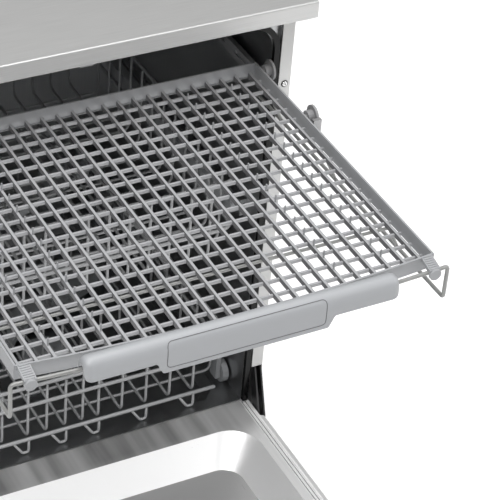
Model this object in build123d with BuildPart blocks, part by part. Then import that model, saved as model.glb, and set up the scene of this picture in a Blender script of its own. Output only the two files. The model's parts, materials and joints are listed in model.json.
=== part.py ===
from build123d import *
import math
import os

os.makedirs("parts", exist_ok=True)

# A free-standing dishwasher with its door down and its cutlery tray drawn out.
# X runs across the machine, Y runs from the front to the back, Z is up.
# The origin is on the floor, midway between the four feet.

# Cabinet
cabinet_width = 598.0
cabinet_depth = 550.0
total_height = 850.0
sheet = 1.0
post_width = 17.5
post_bottom = 227.0
rear_flange = 15.0
skirt_bottom = 30.0
seat_gap = 0.3

# Worktop
worktop_thickness = 24.0
worktop_side_overhang = 1.0
worktop_front_overhang = 48.5
worktop_edge_radius = 2.5
worktop_sheet = 1.2

# Base and feet
base_top = 100.0
base_bottom = 34.0
base_wall = 2.5
kick_setback = 30.0
kick_thickness = 2.0
foot_side_inset = 36.0
foot_end_inset = 55.0
foot_pad_radius = 20.0
foot_pad_height = 8.0
spindle_radius = 5.0
spindle_clearance = 0.2

# Tub
tub_side_space = 27.0
tub_head_space = 34.0
tub_wall = 1.2
track_lift = 0.3
tub_pan_depth = 15.7
tub_corner_radius = 36.0
tub_back_space = 32.0
flange_setback = 8.0
gasket_width = 8.0
gasket_lip = 6.4
ledge_width = 16.0

# Door, as it lies open
hinge_setback = -22.4
hinge_height = 140.0
door_side_gap = 1.0
door_face = 163.4
door_skin = 114.0
door_lip = 5.0
door_top_gap = 6.0
door_sheet = 1.2
door_corner_start = -30.0
recess_depth = 33.0
recess_inset = 39.0
recess_side_margin = 15.4
recess_start = -43.0
recess_corner = 48.0
fascia_height = 110.0
hinge_pin_radius = 4.0
hinge_running_fit = 0.06

# Cutlery tray, as it stands drawn out
tray_side_gap = 14.5
tray_depth = 435.0
tray_drop = 61.0
tray_wall = 2.4
tray_wall_height = 30.0
tray_bow = 14.0
tray_back_setback = 21.0
rib_height = 12.0
rib_width = 2.6
bar_height = 5.0
bar_width = 2.4
rib_spacing = 56.0
bar_spacing = 62.0
front_wire_drop = 19.0
side_wire_drop = 61.0
tray_wire = 2.0
roller_drop = 3.0
roller_flange = 13.5
roller_hub = 8.0
roller_spacing = 113.0
roller_setback = 2.0

# Racks, as they stand in the tub
wire_sides = 5
thin_wire = 2.0
frame_wire = 2.7
wheel_radius = 18.0
wheel_width = 9.0
rack_side_space = 25.0
rack_front_space = 25.0
rack_back_space = 25.0
lower_rack_lift = 23.8
lower_rims = (62.5, 95.5)
upper_rack_lift = 260.3
upper_rims = (46.0, 124.0)
column_shares = (-0.814, -0.514, -0.219, 0.0, 0.219, 0.514, 0.814)
foot_shares = (-0.773, -0.466, -0.231, 0.231, 0.466, 0.773)
tine_shares = (-0.729, -0.486, -0.243, 0.0, 0.243, 0.486, 0.729)
lower_row_shares = (0.107, 0.363, 0.62, 0.876)
upper_row_shares = (0.16, 0.481, 0.801)
tine_row_shares = (0.299, 0.673)
tine_height = 62.0

# Positions that follow from the sizes above
front = -cabinet_depth / 2
back = cabinet_depth / 2
side = cabinet_width / 2
cabinet_top = total_height - worktop_thickness
tub_half = side - tub_side_space
tub_top = cabinet_top - tub_head_space
tub_back = back - tub_back_space
tub_front = front + flange_setback
tub_middle = (tub_front + tub_back) / 2
post_inner = side - post_width
gasket_outer = tub_half + 0.5 + gasket_width
hinge_y = front + hinge_setback
door_half = side - door_side_gap
track_height = door_face + track_lift
tub_floor = track_height - tub_pan_depth
door_end = hinge_y - (cabinet_top - door_top_gap - hinge_height)
lip_y = front + door_lip
fascia_start = door_end + fascia_height
recess_floor = door_face - recess_depth
recess_half_width = tub_half - recess_side_margin
tray_back = front + tray_back_setback
tray_front = tray_back - tray_depth
tray_half = tub_half - tray_side_gap
tray_top = tub_top - tray_drop
tray_floor = tray_top - tray_wall_height
front_wire_height = tray_top - front_wire_drop
side_wire_height = tray_top - side_wire_drop
roller_height = tray_top - roller_drop
rack_half_width = tub_half - rack_side_space
rack_y = (front + rack_front_space, tub_back - rack_back_space)
rack_depth = rack_y[1] - rack_y[0]
lower_rack_floor = track_height + lower_rack_lift
lower_rack_rims = [lower_rack_floor + rise for rise in lower_rims]
upper_rack_floor = track_height + upper_rack_lift
upper_rack_rims = [upper_rack_floor + rise for rise in upper_rims]
screw_radius = 2.3
screw_x = side - post_width / 2
screw_heights = (cabinet_top - 122.7, post_bottom + 73.0)
screw_places = [(hand * screw_x, height) for hand in (-1, 1) for height in screw_heights]


def upright(y):
    """A plane that stands across the machine at depth y and faces the front."""
    return Plane.XZ.offset(-y)


def sideways(x):
    """A plane that stands along the machine at x and faces the right."""
    return Plane.YZ.offset(x)


def level(z):
    """A level plane at height z."""
    return Plane.XY.offset(z)


def block(x_range, y_range, z_range, mode=Mode.ADD):
    """A straight block between the given limits, added to the part in hand."""
    centre = ((x_range[0] + x_range[1]) / 2, (y_range[0] + y_range[1]) / 2, z_range[0])
    with Locations(centre):
        Box(
            x_range[1] - x_range[0],
            y_range[1] - y_range[0],
            z_range[1] - z_range[0],
            align=(Align.CENTER, Align.CENTER, Align.MIN),
            mode=mode,
        )


def disc(radius, mode=Mode.ADD):
    """A round section with enough sides for its size, inside the given radius."""
    RegularPolygon(radius, 8 if radius < 8 else 16, mode=mode)


def bore(radius, mode=Mode.ADD):
    """A round opening with enough sides for its size, nowhere inside the given radius."""
    RegularPolygon(radius, 8 if radius < 8 else 16, major_radius=False, mode=mode)


def bent_wire(plane, points, bend, radius, close=False, mode=Mode.PRIVATE):
    """One drawn wire along a route whose corners are eased by the given bend."""
    corners = [Vector(*point) for point in points]
    if close:
        turns = range(len(corners))
        route_points = [(corners[0] + corners[-1]) * 0.5]
    else:
        turns = range(1, len(corners) - 1)
        route_points = [corners[0]]
    for turn in turns:
        corner = corners[turn]
        for other in (corners[turn - 1], corners[(turn + 1) % len(corners)]):
            route_points.append(corner + (other - corner).normalized() * bend)
    route_points.append(route_points[0] if close else corners[-1])
    with BuildLine(plane) as route:
        Polyline(*[(spot.X, spot.Y) for spot in route_points])
    path = route.wire()
    with BuildSketch(Plane(origin=path @ 0, z_dir=path % 0)) as section:
        RegularPolygon(radius, wire_sides)
    return sweep(section.sketch, path=path, transition=Transition.RIGHT, mode=mode)


def straight_wires(plane, places, length, radius, mode=Mode.PRIVATE):
    """Parallel straight wires that start at the places on a plane."""
    with BuildSketch(plane) as section:
        with Locations(*places):
            RegularPolygon(radius, wire_sides)
    return extrude(section.sketch, amount=length, mode=mode)


def finish(piece, name):
    """Label a finished piece and write it."""
    piece.part.label = name
    export_step(piece.part, f"parts/{name}.step")


def mirrored(piece, name):
    """Write the left-hand twin of a right-hand piece."""
    with BuildPart() as twin:
        add(piece.part)
        mirror(about=Plane.YZ, mode=Mode.REPLACE)
    finish(twin, name)


# Worktop: a folded steel cover with a softened front, and the board that fills it
worktop_x = side + worktop_side_overhang
worktop_y = (front - worktop_front_overhang, back)
board_x = worktop_x - worktop_sheet
board_y = (worktop_y[0] + worktop_sheet, worktop_y[1])
board_z = (cabinet_top, total_height - worktop_sheet)
with BuildPart() as worktop:
    block((-worktop_x, worktop_x), worktop_y, (cabinet_top, total_height))
    front_edges = worktop.edges().filter_by(Axis.X).group_by(Axis.Y)[0]
    fillet(front_edges, worktop_edge_radius)
    block((-board_x, board_x), board_y, board_z, Mode.SUBTRACT)
finish(worktop, "worktop")

with BuildPart() as worktop_board:
    block((-board_x, board_x), board_y, board_z)
    board_edges = worktop_board.edges().filter_by(Axis.X).group_by(Axis.Y)[0]
    chamfer(board_edges, worktop_edge_radius)
finish(worktop_board, "worktop_board")


# Side panels: folded sheet with a front post, which stops above the hinge, and a rear flange
with BuildPart() as right_side_panel:
    with BuildSketch(level(skirt_bottom)):
        with BuildLine():
            Polyline(
                (post_inner, front),
                (side, front),
                (side, back),
                (side - rear_flange, back),
                (side - rear_flange, back - sheet),
                (side - sheet, back - sheet),
                (side - sheet, front + sheet),
                (post_inner, front + sheet),
                close=True,
            )
        make_face()
    extrude(amount=cabinet_top - skirt_bottom)
    cut_x = (post_inner - sheet, side - sheet)
    block(cut_x, (front - sheet, front + sheet), (skirt_bottom, post_bottom), Mode.SUBTRACT)
    bend_edges = right_side_panel.edges().filter_by(Axis.Z).group_by(Axis.X)[-1]
    chamfer(bend_edges, sheet * 0.8)
    with BuildSketch(upright(front)):
        with Locations(*screw_places[2:]):
            bore(screw_radius)
    extrude(amount=-sheet * 2, mode=Mode.SUBTRACT)
finish(right_side_panel, "right_side_panel")
mirrored(right_side_panel, "left_side_panel")


# Rear panel: a plain sheet between the rear flanges, with vents and two hose cut-outs
rear_sheet = 1.2
rear_panel_y = (back - sheet - rear_sheet, back - sheet)
vent_size = (90.0, 5.0)
vent_drop = 136.0
hose_hole = (130.0, 36.0)
hose_x = 180.0
with BuildPart() as rear_panel:
    panel_height = (skirt_bottom, cabinet_top - seat_gap)
    block((sheet - side, side - sheet), rear_panel_y, panel_height)
    with BuildSketch(upright(rear_panel_y[1])):
        with Locations((0, cabinet_top - vent_drop)):
            with GridLocations(150, 24, 2, 3):
                Rectangle(*vent_size)
        hose_z = skirt_bottom + 10 + hose_hole[1] / 2
        with Locations((-hose_x, hose_z), (hose_x, hose_z)):
            Rectangle(*hose_hole)
    extrude(amount=rear_sheet * 2, mode=Mode.SUBTRACT)
finish(rear_panel, "rear_panel")


# Base pan: a moulded tray that carries the feet, the hinges and the pumps
base_half = side - sheet
base_front = front + kick_setback + 4
base_back = rear_panel_y[0]
foot_x = side - foot_side_inset
foot_y = cabinet_depth / 2 - foot_end_inset
base_floor = base_bottom + base_wall
boss_radius = spindle_radius + 9
boss_height = 36.0
hinge_seat = (front + 62, 12.0)
bulkhead_y = tub_back - 60
with BuildPart() as base_pan:
    block((-base_half, base_half), (base_front, base_back), (base_bottom, base_top))
    block(
        (base_wall - base_half, base_half - base_wall),
        (base_front + base_wall, base_back - base_wall),
        (base_floor, base_top),
        Mode.SUBTRACT,
    )
    with BuildSketch(level(base_bottom)):
        with GridLocations(foot_x * 2, foot_y * 2, 2, 2):
            RegularPolygon(boss_radius, 4, rotation=45)
    extrude(amount=boss_height)
    for corner in (-1, 1):
        block(
            sorted((corner * (post_inner - 4), corner * base_half)),
            (base_front, hinge_seat[0]),
            (base_top - hinge_seat[1], base_top),
        )
    block((-base_half, base_half), (bulkhead_y, bulkhead_y + base_wall), (base_bottom, base_top - 20))
    with BuildSketch(level(base_bottom)):
        with GridLocations(foot_x * 2, foot_y * 2, 2, 2):
            RegularPolygon(spindle_radius + spindle_clearance, 8, major_radius=False)
    extrude(amount=boss_height, mode=Mode.SUBTRACT)
finish(base_pan, "base_pan")


# Kick plate: a folded plate under the door, set back from the cabinet front
air_slot = (90.0, 6.0)
with BuildPart() as kick_plate:
    kick_half = base_half - seat_gap
    kick_front = front + kick_setback
    kick_z = (foot_pad_height + 4, base_top - 2)
    block((-kick_half, kick_half), (kick_front, kick_front + kick_thickness), kick_z)
    for edge in (kick_z[0], kick_z[1] - kick_thickness):
        block((-kick_half, kick_half), (kick_front, base_front), (edge, edge + kick_thickness))
    with BuildSketch(upright(kick_front + kick_thickness)):
        with Locations((0, (kick_z[0] + kick_z[1]) / 2)):
            with GridLocations(air_slot[0] + 30, 1, 3, 1):
                Rectangle(*air_slot)
    extrude(amount=kick_thickness, mode=Mode.SUBTRACT)
finish(kick_plate, "kick_plate")


# Feet: round pads on spindles, each with a collar that carries the base
collar_height = 6.0
spindle_top = base_bottom + 30
with BuildPart() as feet:
    with BuildSketch(level(0)):
        with GridLocations(foot_x * 2, foot_y * 2, 2, 2):
            Circle(foot_pad_radius)
    extrude(amount=foot_pad_height)
    with BuildSketch(level(foot_pad_height)):
        with GridLocations(foot_x * 2, foot_y * 2, 2, 2):
            RegularPolygon(spindle_radius, 8)
    extrude(amount=spindle_top - foot_pad_height)
    with BuildSketch(level(base_bottom - collar_height)):
        with GridLocations(foot_x * 2, foot_y * 2, 2, 2):
            RegularPolygon(spindle_radius + 6, 6)
    extrude(amount=collar_height)
finish(feet, "feet")


# Tub: a pressed box with rounded corners, wheel ledges, a sunk floor and a stepped front flange
pan_slope = 6.0
pan_corner = 24.0
sump_radius = 118.0
softener_x = 87.0 - tub_half
softener_y = front + 125
neck_radius = 38.0
flange_half = post_inner + 3
flange_top = tub_top + 12
step_front = front + sheet
skirt_y = front + 18


def tub_space(extra):
    """The space inside the tub, grown outwards by extra."""
    with BuildPart() as space:
        with BuildSketch(upright(tub_back + extra)) as mouth:
            with Locations((0, (track_height + tub_top) / 2)):
                Rectangle(2 * (tub_half + extra), tub_top - track_height + 2 * extra)
            fillet(mouth.vertices().group_by(Axis.Y)[-1], tub_corner_radius + extra)
        extrude(amount=tub_back + extra - tub_front)
        pan_y = (front + 26, tub_back - ledge_width)
        pan_width = 2 * (tub_half - ledge_width - pan_slope + extra)
        pan_depth = pan_y[1] - pan_y[0] + 2 * extra
        with BuildSketch(level(track_height + 1)) as rim:
            with Locations((0, sum(pan_y) / 2)):
                Rectangle(pan_width, pan_depth)
            chamfer(rim.vertices(), pan_corner)
        with BuildSketch(level(tub_floor - extra)) as base:
            with Locations((0, sum(pan_y) / 2)):
                Rectangle(pan_width - 4 * pan_slope, pan_depth - 4 * pan_slope)
            chamfer(base.vertices(), pan_corner)
        loft(ruled=True)
    return space.part


with BuildPart() as tub:
    add(tub_space(tub_wall))
    with BuildSketch(upright(tub_front + tub_wall)):
        with Locations((0, (track_height - tub_wall + flange_top) / 2)):
            Rectangle(flange_half * 2, flange_top - track_height + tub_wall)
    extrude(amount=tub_wall)
    for hand in (-1, 1):
        step_x = sorted((hand * (flange_half - tub_wall), hand * flange_half))
        step_z = (post_bottom + 5, flange_top)
        block(step_x, (step_front, tub_front + tub_wall), step_z)
        wing_x = sorted((hand * (flange_half - tub_wall), hand * (side - sheet - 2)))
        block(wing_x, (step_front, step_front + tub_wall), step_z)
    add(tub_space(0), mode=Mode.SUBTRACT)
    with BuildSketch(sideways(-flange_half)):
        with BuildLine():
            Polyline(
                (tub_front, track_height - tub_wall),
                (skirt_y, hinge_height),
                (skirt_y, base_top),
                (skirt_y + tub_wall, base_top),
                (skirt_y + tub_wall, hinge_height + 0.4),
                (tub_front + tub_wall * 2, track_height - tub_wall),
                close=True,
            )
        make_face()
    extrude(amount=flange_half * 2)
    with BuildSketch(level(tub_floor - tub_wall * 2)):
        with Locations((0, tub_middle)):
            bore(sump_radius)
        with Locations((softener_x, softener_y)):
            bore(neck_radius + 2)
    extrude(amount=tub_wall * 4, mode=Mode.SUBTRACT)
    with BuildSketch(upright(front)):
        with Locations(*screw_places):
            bore(screw_radius)
    extrude(amount=-sheet * 4, mode=Mode.SUBTRACT)
finish(tub, "tub")


# Tub gasket: a soft channel seal round the mouth, with a rounded lip towards the door
with BuildPart() as tub_gasket:
    gasket_inner = tub_half + 0.5
    gasket_z = (track_height + 1, tub_top + 0.5)
    with BuildSketch(upright(tub_front)) as ring:
        with Locations((0, sum(gasket_z) / 2)):
            Rectangle(gasket_outer * 2, gasket_z[1] - gasket_z[0] + gasket_width * 2)
        fillet(ring.vertices().group_by(Axis.Y)[-1], tub_corner_radius + gasket_width)
    extrude(amount=gasket_lip)
    with BuildSketch(upright(tub_front)) as mouth:
        with Locations((0, sum(gasket_z) / 2)):
            Rectangle(gasket_inner * 2, gasket_z[1] - gasket_z[0])
        fillet(mouth.vertices().group_by(Axis.Y)[-1], tub_corner_radius)
        with Locations((0, gasket_z[0] - gasket_width / 2)):
            Rectangle(gasket_outer * 2, gasket_width)
    extrude(amount=gasket_lip, mode=Mode.SUBTRACT)
finish(tub_gasket, "tub_gasket")


# Sill seal: a strip on the skirt under the mouth
sill_size = (5.5, 14.0)
sill_height = base_top + 17
with BuildPart() as sill_seal:
    with BuildSketch(sideways(-tub_half)) as strip:
        with Locations((skirt_y - sill_size[0] / 2, sill_height)):
            Rectangle(*sill_size)
        chamfer(strip.vertices().group_by(Axis.X)[0], 2)
    extrude(amount=tub_half * 2)
finish(sill_seal, "sill_seal")


# Post screws: two pan heads in each post
head_height = 2.4
shank_length = 6.0
with BuildPart() as post_screws:
    with BuildSketch(upright(front)):
        with Locations(*screw_places):
            disc(screw_radius * 2 + 0.3)
    extrude(amount=head_height)
    with BuildSketch(upright(front + shank_length)):
        with Locations(*screw_places):
            disc(screw_radius - 0.3)
    extrude(amount=shank_length)
finish(post_screws, "post_screws")


# Top rail: a folded bar that ties the side panels together and carries the door striker
striker_reach = 20.0
striker_z = (cabinet_top - 20, cabinet_top - 15)
striker_half = 9.0
tie_sheet = 1.2
tie_y = (front + 14, front + 60)
tie_z = (tub_top + tub_wall + 6, cabinet_top)
with BuildPart() as top_rail:
    block((sheet - side, side - sheet), tie_y, tie_z)
    inner_y = (tie_y[0] + tie_sheet, tie_y[1] - tie_sheet)
    block((sheet - side, side - sheet), inner_y, (tie_z[0], tie_z[1] - tie_sheet), Mode.SUBTRACT)
    block((-striker_half, striker_half), (front - striker_reach, tie_y[0]), striker_z)
finish(top_rail, "top_rail")


# Hinge brackets: plates on the base with the pins that carry the door
bracket_x = (side - 10, side - 6.6)
pin_x = (side - 14.8, side - 1.8)
eye_radius = 7.0
bracket_back = front + 60
bracket_sheet = 2.5
with BuildPart() as hinge_brackets:
    with BuildSketch(sideways(bracket_x[0])):
        with BuildLine():
            Polyline(
                (hinge_y, hinge_height + eye_radius),
                (bracket_back, hinge_height + eye_radius),
                (bracket_back, base_top),
                (base_front + 2, base_top),
                (base_front + 2, hinge_height - 12),
                (hinge_y, hinge_height - eye_radius),
                close=True,
            )
        make_face()
        with Locations((hinge_y, hinge_height)):
            disc(eye_radius)
    extrude(amount=bracket_x[1] - bracket_x[0])
    with BuildSketch(sideways(pin_x[0])):
        with Locations((hinge_y, hinge_height)):
            disc(hinge_pin_radius)
    extrude(amount=pin_x[1] - pin_x[0])
    block((post_inner, bracket_x[1]), (base_front + 2, bracket_back), (base_top, base_top + bracket_sheet))
    mirror(about=Plane.YZ)
finish(hinge_brackets, "hinge_brackets")


# Hinge arms: a pair of cheeks on each pin, fixed in the door, with levers that rise behind it
cheek_x = (side - 14, side - 5.1)
cheek_thickness = 2.5
bore_radius = hinge_pin_radius + hinge_running_fit
skin_inside = door_skin + door_sheet
arm_back = front - 120
arm_top = hinge_height + 2
lever_top = post_bottom - 1
with BuildPart() as hinge_arms:
    for cheek in cheek_x:
        with BuildSketch(sideways(cheek)):
            with BuildLine():
                Polyline(
                    (arm_back, skin_inside),
                    (front - 20, skin_inside),
                    (front - 12, hinge_height - 9),
                    (front - 8, hinge_height + 10),
                    (front + 12, lever_top),
                    (front - 2, lever_top),
                    (front - 27, hinge_height + 9),
                    (front - 29.5, arm_top),
                    (arm_back, arm_top),
                    close=True,
                )
            make_face()
            with Locations((hinge_y, hinge_height)):
                disc(eye_radius + 0.5)
                bore(bore_radius, Mode.SUBTRACT)
        extrude(amount=cheek_thickness)
    arm_x = (cheek_x[0], cheek_x[1] + cheek_thickness)
    block(arm_x, (arm_back, arm_back + 70), (skin_inside, skin_inside + cheek_thickness))
    mirror(about=Plane.YZ)
finish(hinge_arms, "hinge_arms")


# Door inner panel: pressed steel with low side shelves, rolled edges and a deep recess
recess_end = fascia_start + 18
recess_y = (recess_end, front + recess_start)
recess_middle = (recess_y[0] + recess_y[1]) / 2
recess_length = recess_y[1] - recess_y[0]
latch_half = 22.0
latch_y = (door_end + 3, door_end + 25)
dispenser_x = (-50.0, 110.0)
dispenser_depth = 120.0
dispenser_setback = 81.3
dispenser_middle = recess_middle - dispenser_setback
dispenser_y = (dispenser_middle - dispenser_depth / 2, dispenser_middle + dispenser_depth / 2)


def recess_space(extra):
    """The sloped pocket in the inner panel, grown outwards by extra."""
    slope = recess_inset / recess_depth
    rise = 1.0
    with BuildPart() as space:
        with BuildSketch(level(door_face + rise)):
            with Locations((0, recess_middle)):
                reach = 2 * (extra + slope * rise)
                RectangleRounded(
                    recess_half_width * 2 + reach, recess_length + reach, recess_corner + extra
                )
        with BuildSketch(level(recess_floor - extra)):
            with Locations((0, recess_middle)):
                reach = 2 * (extra - recess_inset)
                RectangleRounded(
                    recess_half_width * 2 + reach, recess_length + reach, recess_corner - 18 + extra
                )
        loft(ruled=True)
    return space.part


edge_width = 13.0
edge_low = hinge_height + 4
shelf_x = (tub_half - 1.5, door_half - edge_width - door_side_gap)
shelf_drop = 3.9
shelf_z = door_face - shelf_drop
flange_low = hinge_height + 10
flange_width = 4.0
corner_start_x = shelf_x[1] - 0.7
corner_start_y = front + door_corner_start
corner_z = (door_skin, door_face + 6)
with BuildPart() as door_inner_panel:
    with BuildSketch(upright(lip_y)):
        with BuildLine():
            Polyline(
                (0, door_face),
                (shelf_x[0] - 1, door_face),
                (shelf_x[0], shelf_z),
                (shelf_x[1], shelf_z),
                (shelf_x[1] + 7, shelf_z - 2.5),
                (shelf_x[1] + 11, shelf_z - 8),
                (shelf_x[1] + edge_width, edge_low),
                (shelf_x[1] + edge_width - door_sheet, edge_low),
                (shelf_x[1] + 10, shelf_z - 8.5),
                (shelf_x[1] + 6.3, shelf_z - 3.5),
                (shelf_x[1] - 0.2, shelf_z - door_sheet),
                (shelf_x[0] - 0.9, shelf_z - door_sheet),
                (shelf_x[0] - 1.9, door_face - door_sheet),
                (0, door_face - door_sheet),
                close=True,
            )
        make_face()
        mirror(about=Plane.YZ)
    extrude(amount=lip_y - door_end)
    lip_half = tub_half - 1
    block((-lip_half, lip_half), (lip_y - door_sheet, lip_y), (flange_low, door_face - door_sheet / 2))
    recess_shell = recess_space(door_sheet)
    add(recess_shell)
    trim_y = (door_end - 1, lip_y + 1)
    block((-door_half, door_half), trim_y, (door_face, door_face + recess_depth), Mode.SUBTRACT)
    add(recess_space(0), mode=Mode.SUBTRACT)
    for hand in (-1, 1):
        corner_x = sorted((hand * corner_start_x, hand * (door_half + 1)))
        block(corner_x, (corner_start_y, trim_y[1]), corner_z, Mode.SUBTRACT)
    block((-latch_half, latch_half), latch_y, corner_z, Mode.SUBTRACT)
    hole_x = (dispenser_x[0] + flange_width, dispenser_x[1] - flange_width)
    hole_y = (dispenser_y[0] + flange_width, dispenser_y[1] - flange_width)
    block(hole_x, hole_y, (recess_floor - 5, recess_floor + 5), Mode.SUBTRACT)
finish(door_inner_panel, "door_inner_panel")


# Door side strips: soft strips on the side shelves, each with two fine grooves
strip_height = 2.0
groove_width = 1.0
groove_spacing = 5.0
strip_middle = sum(shelf_x) / 2
with BuildPart() as door_side_strips:
    with BuildSketch(upright(lip_y)):
        with Locations((strip_middle, shelf_z + strip_height / 2)):
            Rectangle(shelf_x[1] - shelf_x[0] - 1, strip_height)
        with Locations((strip_middle, shelf_z + strip_height)):
            with GridLocations(groove_spacing, 1, 2, 1):
                Rectangle(groove_width, groove_width, mode=Mode.SUBTRACT)
        mirror(about=Plane.YZ)
    extrude(amount=lip_y - door_end)
finish(door_side_strips, "door_side_strips")


# Door outer panel: a folded skin, cut away at the hinge corners
outer_y = (fascia_start, front - 6)
outer_z = (door_skin, edge_low - 0.5)
with BuildPart() as door_outer_panel:
    block((-door_half, door_half), outer_y, outer_z)
    low_edges = door_outer_panel.edges().filter_by(Axis.Y).group_by(Axis.Z)[0]
    chamfer(low_edges, door_sheet * 0.8)
    inside_x = (door_sheet - door_half, door_half - door_sheet)
    inside_y = (outer_y[0] + door_sheet, outer_y[1] - door_sheet)
    block(inside_x, inside_y, (skin_inside, outer_z[1]), Mode.SUBTRACT)
    for hand in (-1, 1):
        corner_x = sorted((hand * corner_start_x, hand * (door_half + 1)))
        block(corner_x, (corner_start_y, outer_y[1] + 1), corner_z, Mode.SUBTRACT)
    foot_z = (skin_inside + 11, outer_z[1])
    block(inside_x, (outer_y[1] - door_sheet, outer_y[1]), foot_z, Mode.SUBTRACT)
finish(door_outer_panel, "door_outer_panel")


# Control panel: a hollow fascia along the door's upper end, with a grip behind it
panel_wall = 2.5
fascia_y = (door_end, fascia_start - seat_gap)
fascia_z = (door_skin - 2, hinge_height + 3)
grip_half = 80.0
grip_y = (fascia_y[0] + 12, fascia_y[0] + 52)
grip_depth = 18.0
key_size = (18.0, 9.0)
button_gap = 0.3
button_row = fascia_y[1] - 24
fascia_edges = (4.0, 2.0)
button_places = {
    "power": 48.0 - door_half,
    "programme": door_half - 138.0,
    "delay": door_half - 98.0,
    "start": door_half - 48.0,
}
window_x = (83.0 - door_half, 153.0 - door_half)
window_y = (button_row - 11, button_row + 11)
window_depth = 1.5
with BuildPart() as control_panel:
    block((-door_half, door_half), fascia_y, fascia_z)
    end_edges = control_panel.edges().filter_by(Axis.X).group_by(Axis.Z)[0]
    chamfer(end_edges[0], fascia_edges[0])
    side_edges = control_panel.edges().filter_by(Axis.Y).group_by(Axis.Z)[0]
    chamfer(side_edges, fascia_edges[1])
    hollow_x = (panel_wall - door_half, door_half - panel_wall)
    hollow_y = (fascia_y[0] + panel_wall, fascia_y[1] - panel_wall)
    block(hollow_x, hollow_y, (fascia_z[0] + panel_wall, fascia_z[1]), Mode.SUBTRACT)
    cup_x = (-grip_half - panel_wall, grip_half + panel_wall)
    cup_y = (grip_y[0] - panel_wall, grip_y[1] + panel_wall)
    block(cup_x, cup_y, (fascia_z[0] + panel_wall, fascia_z[0] + grip_depth + panel_wall))
    block((-grip_half, grip_half), grip_y, (fascia_z[0] - 1, fascia_z[0] + grip_depth), Mode.SUBTRACT)
    with BuildSketch(level(fascia_z[0])):
        for place in button_places.values():
            with Locations((place, button_row)):
                Rectangle(*(size + 2 * button_gap for size in key_size))
    extrude(amount=panel_wall * 2, mode=Mode.SUBTRACT)
    block(window_x, window_y, (fascia_z[0], fascia_z[0] + window_depth), Mode.SUBTRACT)
finish(control_panel, "control_panel")


# Display window: a clear strip, flush with the control panel
with BuildPart() as display_window:
    glass_x = (window_x[0] + 0.2, window_x[1] - 0.2)
    glass_y = (window_y[0] + 0.2, window_y[1] - 0.2)
    block(glass_x, glass_y, (fascia_z[0], fascia_z[0] + window_depth))
finish(display_window, "display_window")


# Buttons: short keys that stand proud of the panel and press inwards
button_stroke = 1.5
button_length = 6.0
for name, place in button_places.items():
    with BuildPart() as button:
        with BuildSketch(level(fascia_z[0] - button_stroke)):
            with Locations((place, button_row)):
                Rectangle(*key_size)
        extrude(amount=button_length)
    finish(button, f"{name}_button")


# Dispenser: a flanged box in the recess floor, with a powder chamber and a rinse aid neck
dispenser_flange = (recess_floor, recess_floor + 3.4)
dispenser_bottom = skin_inside + 2.8
chamber_x = (dispenser_x[0] + 10, dispenser_x[0] + 92)
chamber_y = (dispenser_y[0] + 12, dispenser_y[1] - 12)
rinse_x = dispenser_x[1] - 32
rinse_y = sum(dispenser_y) / 2
cap_radius = 17.0
cap_fit = 0.3
flange_corner = 7.0
neck_depth = 6.0
with BuildPart() as dispenser_body:
    block(dispenser_x, dispenser_y, dispenser_flange)
    corner_edges = dispenser_body.edges().filter_by(Axis.Z)
    chamfer(corner_edges, flange_corner)
    box_x = (hole_x[0] + seat_gap, hole_x[1] - seat_gap)
    box_y = (hole_y[0] + seat_gap, hole_y[1] - seat_gap)
    block(box_x, box_y, (dispenser_bottom, recess_floor))
    block(chamber_x, chamber_y, (dispenser_bottom + 2, dispenser_flange[1]), Mode.SUBTRACT)
    with BuildSketch(level(dispenser_flange[1] - neck_depth)):
        with Locations((rinse_x, rinse_y)):
            bore(cap_radius + cap_fit)
    extrude(amount=neck_depth, mode=Mode.SUBTRACT)
finish(dispenser_body, "dispenser_body")

lid_lap = 3.0
lid_thickness = 3.0
lid_grip = (12.0, 40.0)
lid_z = (dispenser_flange[1] + seat_gap, dispenser_flange[1] + seat_gap + lid_thickness)
with BuildPart() as dispenser_lid:
    lid_x = (chamber_x[0] - lid_lap, chamber_x[1] + lid_lap)
    block(lid_x, (chamber_y[0] - lid_lap, chamber_y[1] + lid_lap), lid_z)
    chamfer(dispenser_lid.edges().filter_by(Axis.Z), lid_thickness + 2)
    with BuildSketch(level(lid_z[1])):
        with Locations((chamber_x[1] - lid_grip[0] - 2, rinse_y)):
            Rectangle(*lid_grip)
    extrude(amount=2.5)
finish(dispenser_lid, "dispenser_lid")

cap_z = (dispenser_flange[1] - 5.5, dispenser_flange[1] + 1.5)
cap_grip = (26.0, 6.0, 3.0)
with BuildPart() as rinse_cap:
    with BuildSketch(level(cap_z[0])):
        with Locations((rinse_x, rinse_y)):
            disc(cap_radius)
    extrude(amount=cap_z[1] - cap_z[0])
    with BuildSketch(level(cap_z[1])):
        with Locations((rinse_x, rinse_y)):
            Rectangle(*cap_grip[:2])
    extrude(amount=cap_grip[2])
finish(rinse_cap, "rinse_cap")


# Door latch: a housing in the door's end with a pocket for the striker
striker_gap = 2.5
striker_rest = (hinge_y + hinge_height - striker_z[1], hinge_y + hinge_height - striker_z[0])
with BuildPart() as door_latch:
    case_x = (seat_gap - latch_half, latch_half - seat_gap)
    case_y = (latch_y[0] + seat_gap, latch_y[1] - seat_gap)
    block(case_x, case_y, (fascia_z[1] - 4, door_face))
    pocket_x = (-striker_half - striker_gap, striker_half + striker_gap)
    pocket_y = (striker_rest[0] - striker_gap, striker_rest[1] + striker_gap)
    pocket_bottom = front - striker_reach - hinge_y + hinge_height - striker_gap
    block(pocket_x, pocket_y, (pocket_bottom, door_face + 1), Mode.SUBTRACT)
finish(door_latch, "door_latch")


# Cutlery tray basin: low walls round an open floor, with a bowed front and clips for the wire
basin_inner = tray_half - tray_wall
clip_x = tray_half - 9.5
clip_width = 10.0
clip_front = tray_front - 26
seat_thickness = 2.0
seat_width = 14.0
grid_seat = tray_floor + seat_thickness
tab_thickness = 5.0
clip_height = 15.0


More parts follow.
